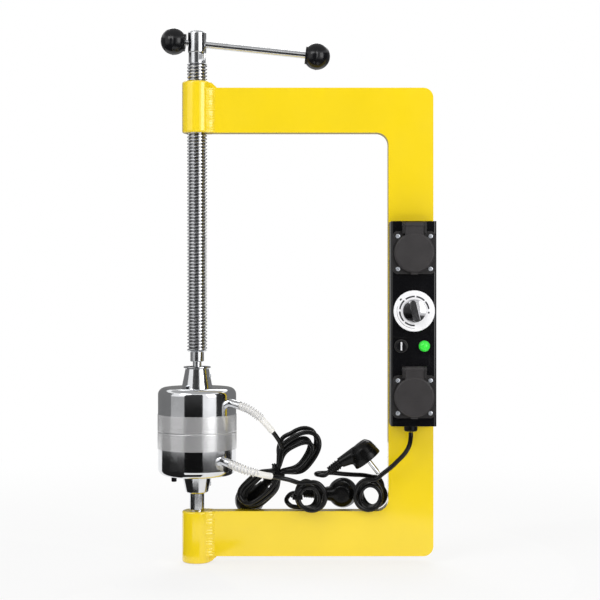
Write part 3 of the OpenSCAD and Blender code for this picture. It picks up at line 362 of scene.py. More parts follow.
def finish_nodes(name):
    """A material with its tree, its shader and its coordinates."""
    material = bpy.data.materials.new(name)
    material.use_nodes = True
    tree = material.node_tree
    tree.nodes.clear()
    shader = put(tree, "BsdfPrincipled")
    put(tree, "OutputMaterial", feeds={"Surface": shader.outputs["BSDF"]})
    return material, tree, shader, put(tree, "TexCoord").outputs["Object"]


def mottle(tree, place, scale, low=0, high=1):
    return grouped(tree, mottle_group(), place, {"Scale": scale, "Low": low, "High": high})


def hairlines(tree, place, scale):
    return grouped(tree, hairline_group(), place, {"Scale": scale})


def grain(tree, place, scale):
    return grouped(tree, grain_group(), place, {"Scale": scale})


def tinted(tree, base, factor, low, high):
    """Base colour between two brightnesses, by a factor."""
    ends = {MIX_A: [c * low for c in base] + [1], MIX_B: [min(1, c * high) for c in base] + [1]}
    return put(tree, "Mix", ends, {"Factor": factor}, data_type="RGBA").outputs[MIX_RESULT]


def bumped(tree, shader, heights):
    """Chain bumps of (height, strength, distance) into the shader's normal."""
    normal = None
    for height, strength, distance in heights:
        bump = put(tree, "Bump", {"Strength": strength, "Distance": distance}, {"Height": height})
        if normal is not None:
            tree.links.new(normal, bump.inputs["Normal"])
        normal = bump.outputs["Normal"]
    tree.links.new(normal, shader.inputs["Normal"])


# Finishes

@once
def yellow_enamel():
    material, tree, shader, place = finish_nodes("yellow_enamel")
    fill(tree, shader, {"Coat Weight": 0.9, "Coat Roughness": 0.10},
         {"Base Color": tinted(tree, colours().enamel, mottle(tree, place, 9), 0.97, 1.03),
          "Roughness": mottle(tree, place, 30, 0.17, 0.24)})
    bumped(tree, shader, [(grain(tree, place, 160), 0.06, 0.0004), (grain(tree, place, 1100), 0.03, 0.0001)])
    return material


def metal(name, base, low, high, scratch, lines=None, scale=60, cut=0.22, bare=1.0):
    """A metal with smudges, hairlines and, where it was turned, tool rings."""
    material, tree, shader, place = finish_nodes(name)
    rough = mottle(tree, place, scale * 0.7, low, high)
    heights = []
    if scratch:
        marks = hairlines(tree, place, 420)
        rough = maths(tree, "MULTIPLY_ADD", marks, scratch * 0.4, rough)
        heights.append((marks, scratch * 0.2, 0.00005))
    if lines:
        heights.append((grouped(tree, lathe_group(), place, {"Rings": lines}), cut, 0.0001))
    fill(tree, shader, {"Metallic": bare},
         {"Base Color": tinted(tree, base, mottle(tree, place, scale), 0.93, 1.04), "Roughness": rough})
    bumped(tree, shader, heights)
    return material


@once
def chrome():
    return metal("chrome", colours().chrome, 0.06, 0.11, scratch=0.06)


@once
def turned_chrome():
    return metal("turned_chrome", colours().chrome, 0.08, 0.17, scratch=0.12, lines=2600)


@once
def turned_aluminium():
    return metal("turned_aluminium", colours().aluminium, 0.20, 0.27, scratch=0, lines=900, scale=16,
                 cut=0.3, bare=0.75)


@once
def plating():
    """Bright plating of the sliding bar."""
    return metal("plating", colours().chrome, 0.17, 0.25, scratch=0.06, scale=90)


@once
def thread_plating():
    """Plating turned grey in the thread's roots: painted shade in the hollows of the thread."""
    material = metal("thread_plating", colours().chrome, 0.12, 0.20, scratch=0.06, scale=90)
    tree = material.node_tree
    shader = tree.nodes["Principled BSDF"]
    crest = SCREW_D / 2
    roots = grouped(tree, root_group(), tree.nodes["Texture Coordinate"].outputs["Object"], {
        "Root": crest - sizes().thread_depth, "Crest": crest - 0.0002,
        "Middle": (THREAD_LOW + THREAD_HIGH) / 2, "Half Length": (THREAD_HIGH - THREAD_LOW) / 2})
    unshaded = shader.inputs["Base Color"].links[0].from_socket
    # The roots are mixed to grey: painted shade where the thread's hollows shade themselves
    root_shade = put(tree, "Mix", {MIX_B: (0.34, 0.34, 0.35, 1)}, {"Factor": roots, MIX_A: unshaded},
                  data_type="RGBA")
    fill(tree, shader, feeds={"Base Color": root_shade.outputs[MIX_RESULT]})
    return material


@once
def zinc():
    return metal("zinc", (0.72, 0.75, 0.80), 0.22, 0.34, scratch=0.2, scale=140, bare=0.72)


@once
def spring_steel():
    return metal("spring_steel", (0.80, 0.80, 0.82), 0.20, 0.30, scratch=0.1, scale=200, bare=0.6)


@once
def knob_metal():
    return metal("knob_metal", (0.50, 0.50, 0.52), 0.12, 0.17, scratch=0, lines=3000, cut=0.02)


@once
def brass():
    return metal("brass", (0.80, 0.58, 0.24), 0.22, 0.34, scratch=0.3, scale=140)


def plastic(name, base, low, high, pores, depth, spread=0.15, shine=0.5):
    """A moulded plastic or rubber with a fine skin and handling marks."""
    material, tree, shader, place = finish_nodes(name)
    rough = maths(tree, "MULTIPLY_ADD", hairlines(tree, place, 500), 0.10, mottle(tree, place, 70, low, high))
    fill(tree, shader, {"Specular IOR Level": shine},
         {"Base Color": tinted(tree, base, mottle(tree, place, 50), 1 - spread, 1 + spread),
          "Roughness": rough})
    bumped(tree, shader, [(grain(tree, place, pores), depth, 0.0001),
                          (grain(tree, place, pores / 6), 0.04, 0.0003)])
    return material


@once
def panel_paint():
    return plastic("panel_paint", colours().panel, 0.10, 0.16, 1500, 0.04)


@once
def lid_plastic():
    return plastic("lid_plastic", colours().lid, 0.46, 0.58, 2600, 0.30)


@once
def socket_plastic():
    return plastic("socket_plastic", [c * 0.5 for c in colours().lid], 0.36, 0.48, 2600, 0.20)


@once
def ball_plastic():
    return plastic("ball_plastic", colours().ball, 0.14, 0.20, 900, 0.04, shine=0.35)


@once
def cord_rubber():
    return plastic("cord_rubber", colours().cord, 0.14, 0.21, 1800, 0.05, shine=0.3)


@once
def plug_rubber():
    return plastic("plug_rubber", colours().cord, 0.20, 0.29, 2200, 0.08, shine=0.2)


@once
def dial_plastic():
    return plastic("dial_plastic", (0.86, 0.86, 0.88), 0.24, 0.32, 1200, 0.04, spread=0.02)


@once
def gloss_plastic():
    return plastic("gloss_plastic", colours().ball, 0.07, 0.12, 900, 0.02)


@once
def dial_ink():
    return plastic("dial_ink", (0.02, 0.02, 0.025), 0.4, 0.5, 2000, 0.1)


@once
def mineral():
    return plastic("mineral", (0.74, 0.72, 0.66), 0.8, 0.9, 700, 0.5, spread=0.06)


@once
def fuse_glass():
    material, tree, shader, place = finish_nodes("fuse_glass")
    fill(tree, shader, {"Transmission Weight": 1, "IOR": 1.5, "Base Color": (0.9, 0.95, 0.93, 1)},
         {"Roughness": mottle(tree, place, 200, 0.02, 0.08)})
    bumped(tree, shader, [(grain(tree, place, 400), 0.03, 0.0001)])
    return material


@once
def lens_with_painted_glow():
    """Green lens with moulded dimples, and a painted glow: the lens gives off light of its own."""
    material, tree, shader, place = finish_nodes("lens_with_painted_glow")
    cells = put(tree, "TexVoronoi", {"Scale": 900, "Randomness": 0.15}, {"Vector": place})
    dimples = put(tree, "MapRange", {"From Max": 0.6}, {"Value": cells.outputs["Distance"]}).outputs["Result"]
    # Emission here is a painted glow that brightens the lens
    fill(tree, shader, {"Emission Strength": 0.28},
         {"Base Color": tinted(tree, colours().lens, dimples, 1.12, 0.8),
          "Emission Color": tinted(tree, colours().lens, dimples, 1.1, 0.75),
          "Roughness": mottle(tree, place, 300, 0.18, 0.28)})
    bumped(tree, shader, [(dimples, 0.3, 0.0003)])
    return material


@once
def braid():
    """Woven sleeve: bright strands, grey between them, read from the tube's own map."""
    material, tree, shader, _ = finish_nodes("braid")
    grid = put(tree, "UVMap", uv_map="braid").outputs["UV"]
    split = put(tree, "SeparateXYZ", feeds={"Vector": grid}).outputs
    waves = []
    for way in (1, -1):
        line = maths(tree, "MULTIPLY_ADD", split["X"], way, split["Y"])
        waves.append(maths(tree, "SINE", maths(tree, "MULTIPLY", line, math.pi)))
    height = maths(tree, "ABSOLUTE", maths(tree, "MULTIPLY", *waves))
    fill(tree, shader, {"Roughness": 0.72, "Sheen Weight": 0.2},
         {"Base Color": tinted(tree, colours().sleeve, height, 0.84, 1.05)})
    bumped(tree, shader, [(height, 0.4, 0.0002)])
    return material


# Mesh helpers

def kept(geom, kind):
    """The vertices, edges or faces among what an operator made."""
    return [g for g in geom if isinstance(g, kind)]


def mesh_of(bm, name):
    mesh = bpy.data.meshes.new(name)
    bm.to_mesh(mesh)
    bm.free()
    return mesh


def in_scene(name, data):
    made = bpy.data.objects.new(name, data)
    bpy.context.scene.collection.objects.link(made)
    return made


def carried(made, body, material, replaces):
    """Give a piece its finish, the body that it rides on and the nodes that it stands for."""
    made.data.materials.append(material)
    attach(made, body)
    if replaces:
        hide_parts(*replaces)
    return made


def piece(name, bm, body, material, replaces=(), angle=32, weighted=False):
    """Turn a bmesh into a piece that is smooth below an angle."""
    mesh = mesh_of(bm, name)
    mesh.shade_smooth()
    mesh.set_sharp_from_angle(angle=math.radians(angle))
    made = in_scene(name, mesh)
    if weighted:
        made.modifiers.new("even_normals", "WEIGHTED_NORMAL").keep_sharp = True
    return carried(made, body, material, replaces)


def dressed(material, *nodes):
    """Give nodes that keep their shape a finish."""
    for node in nodes:
        NODES[node].data.materials.clear()
        NODES[node].data.materials.append(material)


def node_copy(node):
    """A node's mesh as one joined surface with its flat triangles dissolved."""
    bm = bmesh.new()
    bm.from_mesh(NODES[node].data)
    bmesh.ops.remove_doubles(bm, verts=bm.verts, dist=MERGE)
    bmesh.ops.dissolve_limit(bm, angle_limit=FLAT, verts=bm.verts, edges=bm.edges)
    return bm


def rounded(bm, edges, width, segments, clamp=False):
    bmesh.ops.bevel(bm, geom=edges, offset=width, offset_type="OFFSET", segments=segments, profile=0.5,
                    affect="EDGES", clamp_overlap=clamp, material=-1)


def refined(name, node, material, width=None, segments=2):
    """A node with softened edges and an even shade, in place of the node."""
    bm = node_copy(node)
    if width:
        sharp = [e for e in bm.edges if e.is_manifold and e.calc_face_angle() > SHARP]
        rounded(bm, sharp, width, segments, clamp=True)
    return piece(name, bm, NODES[node]["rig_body"], material, (node,), weighted=bool(width))


def moulded(name, node, plug, material):
    """A plug's shell as one even skin: its body flows into the boot, its ribs and face stay crisp."""
    mesh = mesh_of(node_copy(node), "scratch")
    rough = in_scene("scratch", mesh)
    skin = rough.modifiers.new("skin", "REMESH")
    skin.mode = "VOXEL"
    skin.voxel_size = SKIN_STEP
    even = bpy.data.meshes.new_from_object(rough.evaluated_get(bpy.context.evaluated_depsgraph_get()))
    bm = bmesh.new()
    bm.from_mesh(even)
    bpy.data.objects.remove(rough)
    for scratch in (mesh, even):
        bpy.data.meshes.remove(scratch)
    at, boot, pin = plug
    body = [v for v in bm.verts if (v.co - at).dot(boot) < BODY_REACH and (v.co - at).dot(pin) < -FACE_BAND]
    for verts, passes in ((bm.verts[:], CRISP_PASSES), (body, BODY_PASSES)):
        for _ in range(passes):
            bmesh.ops.smooth_vert(bm, verts=verts, factor=0.5, use_axis_x=True, use_axis_y=True,
                                  use_axis_z=True)
    return piece(name, bm, NODES[node]["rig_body"], material, (node,), angle=60)


def spun(points, angle, steps, rise=0.0, merge=False):
    """Spin a line of points about Z, with a rise at each step."""
    bm = bmesh.new()
    verts = [bm.verts.new(p) for p in points]
    edges = [bm.edges.new(pair) for pair in zip(verts, verts[1:])]
    bmesh.ops.spin(bm, geom=verts + edges, cent=(0, 0, 0), axis=(0, 0, 1), dvec=(0, 0, rise), angle=angle,
                   steps=steps, use_merge=merge, use_duplicate=False)
    return bm


def turned(profile, steps):
    """A closed solid from a profile of (radius, height) about Z."""
    bm = spun([(r, 0, z) for r, z in profile], 2 * math.pi, steps, merge=True)
    bmesh.ops.remove_doubles(bm, verts=bm.verts, dist=1e-6)
    bmesh.ops.recalc_face_normals(bm, faces=bm.faces)
    return bm


def drawn(outline, moves):
    """Extrude a flat outline by moves of (shift, swelling, point that it swells about)."""
    bm = bmesh.new()
    face = bm.faces.new([bm.verts.new(p) for p in outline])
    for i, (shift, swell, about) in enumerate(moves):
        grown = bmesh.ops.extrude_face_region(bm, geom=[face])["geom"]
        if i:
            bmesh.ops.delete(bm, geom=[face], context="FACES_ONLY")
        face = kept(grown, FACE)[0]
        verts = kept(grown, VERT)
        bmesh.ops.translate(bm, vec=shift, verts=verts)
        bmesh.ops.scale(bm, vec=(swell, swell, 1), verts=verts, space=Matrix.Translation(-Vector(about)))
    return bm


def block(size, matrix):
    """A box about the middle of a place."""
    bm = bmesh.new()
    bmesh.ops.create_cube(bm, size=1, matrix=matrix @ Matrix.Diagonal((*size, 1)))
    return bm


def cut_across(bm, z, way=1, **options):
    """Cut a shape at a height; returns what lies on the cut."""
    return bmesh.ops.bisect_plane(bm, geom=bm.verts[:] + bm.edges[:] + bm.faces[:], plane_co=(0, 0, z),
                                  plane_no=(0, 0, way), **options)["geom_cut"]


def joined(parts, outward=False):
    """Gather (bmesh, matrix) pairs into one bmesh, with its faces turned outward if asked."""
    whole = bmesh.new()
    for bm, matrix in parts:
        bmesh.ops.transform(bm, matrix=matrix, verts=bm.verts)
        scratch = mesh_of(bm, "scratch")
        whole.from_mesh(scratch)
        bpy.data.meshes.remove(scratch)
    if outward:
        bmesh.ops.recalc_face_normals(whole, faces=whole.faces)
    return whole


def on_panel(x, z, out=0.0):
    """Matrix of a place on the box's front, with Z pointing out of it."""
    return Matrix.Translation((x, PANEL_Y - out, z)) @ Matrix.Rotation(math.radians(90), 4, "X")


# Paths of the leads

def curve_point(a, b, c, d, f):
    return 0.5 * (2 * b + (c - a) * f + (2 * a - 5 * b + 4 * c - d) * f * f
                  + (3 * b - a - 3 * c + d) * f * f * f)


def smooth(points, steps=ROUTE_STEPS, onward=None):
    """Points of a curve through the given ones, which leaves the last one towards the onward point."""
    points = [Vector(p) for p in points]
    held = [points[0]] + points + [points[-1] if onward is None else onward]
    out = []
    for a, b, c, d in zip(held, held[1:], held[2:], held[3:]):
        out += [curve_point(a, b, c, d, k / steps) for k in range(steps)]
    return out + [points[-1]]


def ease(x):
    c = min(1, max(0, x))
    return c * c * (3 - 2 * c)


def bow_point(t):
    """A point of the bow after t turns: two lobes drawn together at the tie, each loop in its own layer."""
    layer = math.floor(t)
    out = BOW_SPREAD * (1 - t + layer if layer % 2 == 0 else t - layer)
    a = 2 * math.pi * t
    u = ((BOW_HIGH if math.cos(a) > 0 else BOW_LOW).x + out) * math.cos(a)
    pinch = math.exp(-(u / BOW_PINCH) ** 2)
    lobe = BOW_LOW.lerp(BOW_HIGH, ease(u / BOW_BLEND + 0.5))
    full = 1 + lobe.z * math.cos(a) ** 4
    v = math.sin(a) * full * (lobe.y * (1 - BOW_DRAW * pinch) + out * (1 - BOW_CLOSE * pinch))
    layers = sum(ease((t - k) * 2 + 0.5) for k in range(1, BOW_LAYERS + 1)) - (BOW_LAYERS - 1) / 2
    slope = BOW_SLOPE + BOW_FAN * (t - BOW_LAYERS / 2)
    c, s = math.cos(slope), math.sin(slope)
    return BOW_TIE + Vector((u * c - v * s, BOW_PITCH * layers, u * s + v * c))


def loop_point(shape, t):
    """A point of an oval winding after t turns, whose loops differ a little in size."""
    start, half, way, step, rates = shape
    a = math.pi / 2 + way * 2 * math.pi * t
    wide = half[0] + WANDER * math.sin(math.radians(rates[0] * t))
    grown = WANDER * math.sin(math.radians(rates[1] * t + 60))
    return start + t * step + Vector((wide * math.cos(a), 0, grown + (half[1] + grown) * math.sin(a)))


def turns(first, final):
    count = round((final - first) * LOOP_POINTS)
    return [first + (final - first) * i / count for i in range(count + 1)]


def tube_points(tube):
    """Where a lead shows inside its tube and where it leaves it."""
    turn, z = tube
    way = Vector((math.cos(TUBE_DIP) * math.cos(turn), math.cos(TUBE_DIP) * math.sin(turn),
                  -math.sin(TUBE_DIP)))
    end = Vector((TUBE_START * math.cos(turn), TUBE_START * math.sin(turn), z)) + TUBE_LEN * way
    return [end - LEAD_INSIDE * way, end]


def lead_path(route, loops, tail, plug):
    """Points along the route, the loops and the tail to the end of the plug's boot."""
    thick = sizes().cord_diameter
    at, boot, pin = plug
    boot_end = at - BOOT_DEPTH * pin + BOOT_REACH * boot
    last, meet = Vector(route[-1]), loops[0] - thick * (loops[1] - loops[0]).normalized()
    onward = last + 2 * (meet - last).length * (loops[0] - meet).normalized()
    final = smooth([loops[-1]] + tail + [boot_end + 1.4 * thick * boot, boot_end])
    return smooth(route + [meet], onward=onward) + loops + final[1:]


def frames_along(path):
    """Tangents and normals that turn as little as they can."""
    n = len(path)
    ways = [(path[min(n - 1, i + 1)] - path[max(0, i - 1)]).normalized() for i in range(n)]
    up = Vector((0, 0, 1)) if abs(ways[0].z) < 0.8 else Vector((0, 1, 0))
    side = ways[0].cross(up).normalized()
    sides = []
    for way in ways:
        side = (side - side.dot(way) * way).normalized()
        sides.append(side)
    return ways, sides


def wire(name, path, diameter, body, material, replaces):
    """A round wire or cord as a curve of one open spline."""
    curve = bpy.data.curves.new(name, "CURVE")
    curve.dimensions = "3D"
    curve.bevel_depth = diameter / 2
    curve.bevel_resolution = 6
    curve.use_fill_caps = True
    spline = curve.splines.new("POLY")
    spline.points.add(len(path) - 1)
    for point, place in zip(spline.points, path):
        point.co = (*place, 1)
    spline.use_smooth = True
    return carried(in_scene(name, curve), body, material, replaces)


def braided_tube(path, radius, sides=32, strands=8, lay=0.0034):
    """A woven tube along a path, with strands that stand out and a map that follows them."""
    ways, normals = frames_along(path)
    bm = bmesh.new()
    grid = bm.loops.layers.uv.new("braid")
    ring = bmesh.ops.create_circle(bm, segments=sides, radius=radius)["verts"]
    rim = bm.edges[:]
    rings, run = [], 0.0
    for i, (place, way, side) in enumerate(zip(path, ways, normals)):
        if i:
            run += (place - path[i - 1]).length
            grown = bmesh.ops.extrude_edge_only(bm, edges=rim)["geom"]
            rim = kept(grown, EDGE)
            back = {next(e.other_vert(v) for e in v.link_edges if e.other_vert(v) in ring): v
                    for v in kept(grown, VERT)}
            ring = [back[v] for v in ring]
        other = way.cross(side)
        for k, vert in enumerate(ring):
            a = 2 * math.pi * k / sides
            u, v = strands * k / sides, run / lay
            weave = abs(math.sin(math.pi * (u + v)) * math.sin(math.pi * (v - u)))
            out = radius * (0.955 + 0.045 * weave)
            vert.co = place + out * (math.cos(a) * side + math.sin(a) * other)
        rings.append((list(ring), run / lay))
    where = {v: (k, along) for ring_verts, along in rings for k, v in enumerate(ring_verts)}
    for face in bm.faces:
        wraps = {where[loop.vert][0] for loop in face.loops} >= {0, sides - 1}
        for loop in face.loops:
            k, along = where[loop.vert]
            loop[grid].uv = (strands * (sides if wraps and k == 0 else k) / sides, along)
    for ends in (rings[0][0], rings[-1][0]):
        bm.faces.new(ends)
    bmesh.ops.recalc_face_normals(bm, faces=bm.faces)
    return bm


def spring_path(path, first, final, curl_points=28):
    """Curls about a path between two of its points."""
    ways, normals = frames_along(path)
    curls = sizes().spring_curls
    count = curls * curl_points
    out = []
    for j in range(count + 1):
        s = first + (final - first) * j / count
        i = min(int(s), len(path) - 2)
        place = path[i].lerp(path[i + 1], s - i)
        way = ways[i].lerp(ways[i + 1], s - i).normalized()
        side = normals[i].lerp(normals[i + 1], s - i).normalized()
        a = 2 * math.pi * curls * j / count
        out.append(place + sizes().spring_mean / 2 * (math.cos(a) * side + math.sin(a) * way.cross(side)))
    return out


class VULCANIZER_OT_stage(bpy.types.Operator):
    """Camera at the photo's angle, pale floor, soft lights and grey cards that only polish reflects"""
    bl_idname = "vulcanizer.stage"
    bl_label = "Stage"

    def execute(self, context):
        scene = context.scene
        scene.view_settings.view_transform = "Standard"
        camera = in_scene("camera", bpy.data.cameras.new("camera"))
        camera.location = CAMERA_PLACE
        camera.rotation_euler = (math.radians(90), 0, 0)
        camera.data.sensor_width = SENSOR
        camera.data.lens = LENS
        camera.data.shift_y = LENS_SHIFT
        scene.camera = camera
        self.world(scene)
        self.floor()
        for lamp in LAMPS:
            self.lamp(*lamp)
        for card in CARDS:
            self.card(*card)
        return {"FINISHED"}

    def lamp(self, name, place, aim, width, height, power, reflected):
        lamp = bpy.data.lights.new(name, "AREA")
        lamp.shape = "RECTANGLE"
        lamp.size, lamp.size_y, lamp.energy = width, height, power
        light = in_scene(name, lamp)
        light.location = place
        light.rotation_euler = (Vector(aim) - Vector(place)).to_track_quat("-Z", "Y").to_euler()
        light.visible_glossy = reflected

    def seen(self, tree):
        """One where the eye, a reflection or glass looks at the surface."""
        path = put(tree, "LightPath").outputs
        polish = maths(tree, "MAXIMUM", path["Is Camera Ray"], path["Is Glossy Ray"])
        return maths(tree, "MAXIMUM", polish, path["Is Transmission Ray"])

    def world(self, scene):
        scene.world = bpy.data.worlds.new("studio")
        scene.world.use_nodes = True
        tree = scene.world.node_tree
        tree.nodes.clear()
        lit, white = (put(tree, "Background", {"Color": WHITE, "Strength": strength}).outputs[0]
                      for strength in (0.62, 1.0))
        mixed = put(tree, "MixShader", feeds={0: self.seen(tree), 1: lit, 2: white})
        put(tree, "OutputWorld", feeds={"Surface": mixed.outputs[0]})

    def floor(self, half=6, drop=0.0006):
        """Pale ground that fades to white away from the press."""
        bm = bmesh.new()
        bmesh.ops.create_grid(bm, x_segments=2, y_segments=2, size=half)
        bmesh.ops.translate(bm, vec=(0, 0, -drop), verts=bm.verts)
        made = in_scene("floor", mesh_of(bm, "floor"))
        material, tree, shader, place = finish_nodes("floor")
        fill(tree, shader, {"Base Color": (0.86, 0.86, 0.86, 1)},
             {"Roughness": mottle(tree, place, 3, 0.55, 0.65)})
        away = put(tree, "VectorMath", {1: (0.12, 0, 0)}, {0: place}, operation="DISTANCE")
        white = put(tree, "MapRange", {"From Min": 0.3, "From Max": 1.1, "To Min": 0.74, "To Max": 1.0},
                    {"Value": away.outputs["Value"]}, interpolation_type="SMOOTHSTEP")
        share = maths(tree, "MULTIPLY", self.seen(tree), white.outputs["Result"])
        glow = put(tree, "Emission", {"Color": WHITE, "Strength": 1.0})
        mixed = put(tree, "MixShader", feeds={0: share, 1: shader.outputs["BSDF"], 2: glow.outputs[0]})
        fill(tree, tree.nodes["Material Output"], feeds={"Surface": mixed.outputs[0]})
        made.data.materials.append(material)

    def card(self, name, profile, first, final, glow):
        """A curved screen about the press axis that only polish reflects."""
        turn = Matrix.Rotation(math.radians(first), 3, "Z")
        bm = spun([turn @ Vector((0, -r, z)) for r, z in profile], math.radians(final - first),
                  round((final - first) / 5))
        made = in_scene(name, mesh_of(bm, name))
        for rays in ("camera", "shadow", "diffuse", "transmission"):
            setattr(made, f"visible_{rays}", False)
        material, tree, shader, _ = finish_nodes(name)
        fill(tree, shader, {"Base Color": BLACK, "Specular IOR Level": 0, "Emission Color": WHITE,
                            "Emission Strength": glow})
        made.data.materials.append(material)


class VULCANIZER_OT_leads(bpy.types.Operator):
    """Three leads with their loops, the braided sleeves, the springs and the ties"""
    bl_idname = "vulcanizer.leads"
    bl_label = "Leads"

    def execute(self, context):
        bow = [bow_point(t) for t in turns(*BOW_TURNS)]
        oval = [loop_point(OVAL, t) for t in turns(0, OVAL_TURNS)]
        coil = [loop_point(COIL, t) for t in turns(0, COIL_TURNS)]
        for side, body, tube, route, loops, tail, plug in (
                ("upper", "upper_head", UPPER_TUBE, UPPER_ROUTE, bow, UPPER_TAIL, UPPER_PLUG),
                ("lower", "frame", LOWER_TUBE, LOWER_ROUTE, oval, LOWER_TAIL, LOWER_PLUG)):
            route = tube_points(tube) + route
            fine = smooth(route, SLEEVE_STEPS)
            woven = braided_tube(fine[:SLEEVE_END * SLEEVE_STEPS + 1], sizes().sleeve_diameter / 2)
            sleeve = piece(f"{side}_braid", woven, body, braid(), (f"{side}_sleeve",), angle=60)
            spring = spring_path(fine, SLEEVE_STEPS * SPRING_START, SLEEVE_STEPS * SPRING_END)
            wire(f"{side}_strain_spring", spring, sizes().spring_wire, body, spring_steel(),
                 (f"{side}_spring",))
            tie = refined(f"{side}_cord_tie", f"{side}_tie", plug_rubber(), sizes().small_bevel)
            path = lead_path(route, loops, tail, plug)[ROUTE_STEPS:]
            self.cord(side, body, path, ("lead", "hank"), plug, route[1], [sleeve, tie])
        path = lead_path(MAINS_ROUTE, coil, MAINS_TAIL, MAINS_PLUG)
        self.cord("mains", "frame", path, ("lead", "coil"), MAINS_PLUG, MAINS_ROUTE[0], [])
        dressed(chrome(), "upper_plug_pins", "lower_plug_pins", "mains_plug_pins")
        return {"FINISHED"}

    def cord(self, side, body, path, nodes, plug, exit_at, pieces):
        """A black cord with its plug; the pieces on it are not used."""
        diameter = sizes().cord_diameter
        cord = wire(f"{side}_cord", path, diameter, body, cord_rubber(),
                    [f"{side}_{node}" for node in nodes])
        shell = moulded(f"{side}_plug_shell", f"{side}_plug", plug, plug_rubber())


class VULCANIZER_OT_frame(bpy.types.Operator):
    """Enamelled plate and bosses with rippled welds"""
    bl_idname = "vulcanizer.frame"
    bl_label = "Frame"

    def execute(self, context):
        refined("frame_plate", "c_frame", yellow_enamel(), sizes().plate_bevel, segments=3)
        refined("upper_boss_body", "upper_boss", yellow_enamel())
        refined("lower_boss_body", "lower_boss", yellow_enamel())
        self.welds()
        return {"FINISHED"}

    def welds(self):
        """Beads laid in short overlapping ripples along both bosses."""
        low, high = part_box("upper_boss")[0].z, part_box("lower_boss")[1].z
        spans = ((LOWER_WELD_START, high - WELD_SHY), (low + WELD_SHY, low + UPPER_WELD_LEN))
        beads = [self.bead(z0, z1, side) for z0, z1 in spans for side in (-1, 1)]
        beads += [self.end_bead(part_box("c_frame")[1].z, 1), self.end_bead(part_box("c_frame")[0].z, -1)]
        bm = joined([(bead, Matrix.Identity(4)) for bead in beads], outward=True)
        piece("weld_ripples", bm, "frame", yellow_enamel(), ("weld_beads",), angle=50)

    def ripple(self, run):
        """Size of a bead along its run: scales that the torch leaves, and an uneven hand."""
        scales = abs(math.sin(math.pi * run / RIPPLE_LENGTH))
        return 1 + 0.10 * scales + 0.05 * math.sin(520 * run) + 0.035 * math.sin(1450 * run + 1)

    def bead(self, z0, z1, side):
        """One upright bead: a convex fillet extruded in ripples."""
        sunk, crown, facets = 0.0006, 0.0007, 6
        meet = math.sqrt(BOSS_R ** 2 - PLATE_HALF ** 2)
        a = math.asin(PLATE_HALF / BOSS_R) + WELD_ARC / BOSS_R
        corner = Vector((meet + sunk, PLATE_HALF - sunk))
        toe = Vector((meet + WELD_LEG, PLATE_HALF - WELD_SHY))
        top = 0.995 * BOSS_R * Vector((math.cos(a), math.sin(a)))
        outline = [corner]
        for k in range(facets + 1):
            flat = toe.lerp(top, k / facets)
            outline.append(flat + crown * math.sin(math.pi * k / facets) * (flat - corner).normalized())
        steps = round((z1 - z0) / RIPPLE_STEP)
        swells = [self.ripple(i * RIPPLE_STEP) for i in range(steps + 1)]
        shift, about = (0, 0, (z1 - z0) / steps), (corner.x, side * corner.y, 0)
        return drawn([(p.x, side * p.y, z0) for p in outline],
                     [(shift, new / old, about) for old, new in zip(swells, swells[1:])])

    def end_bead(self, z, way):
        """The fillet across an arm's edge, sloping from the boss down to the arm."""
        tall, back, inset = 0.0055, -0.004, 0.0004
        outline = [(back, 0), (0.006, 0), (0.0052, 0.0012), (0.0028, 0.0032), (0.0006, tall), (back, tall)]
        step = 2 * (PLATE_HALF - inset) / ARM_WELD_STEPS
        return drawn([(BOSS_R + x, -PLATE_HALF + inset, z + way * h) for x, h in outline],
                     [((0.0002 * math.sin(1.9 * i), step, 0), 1, (0, 0, 0))
                      for i in range(1, ARM_WELD_STEPS + 1)])


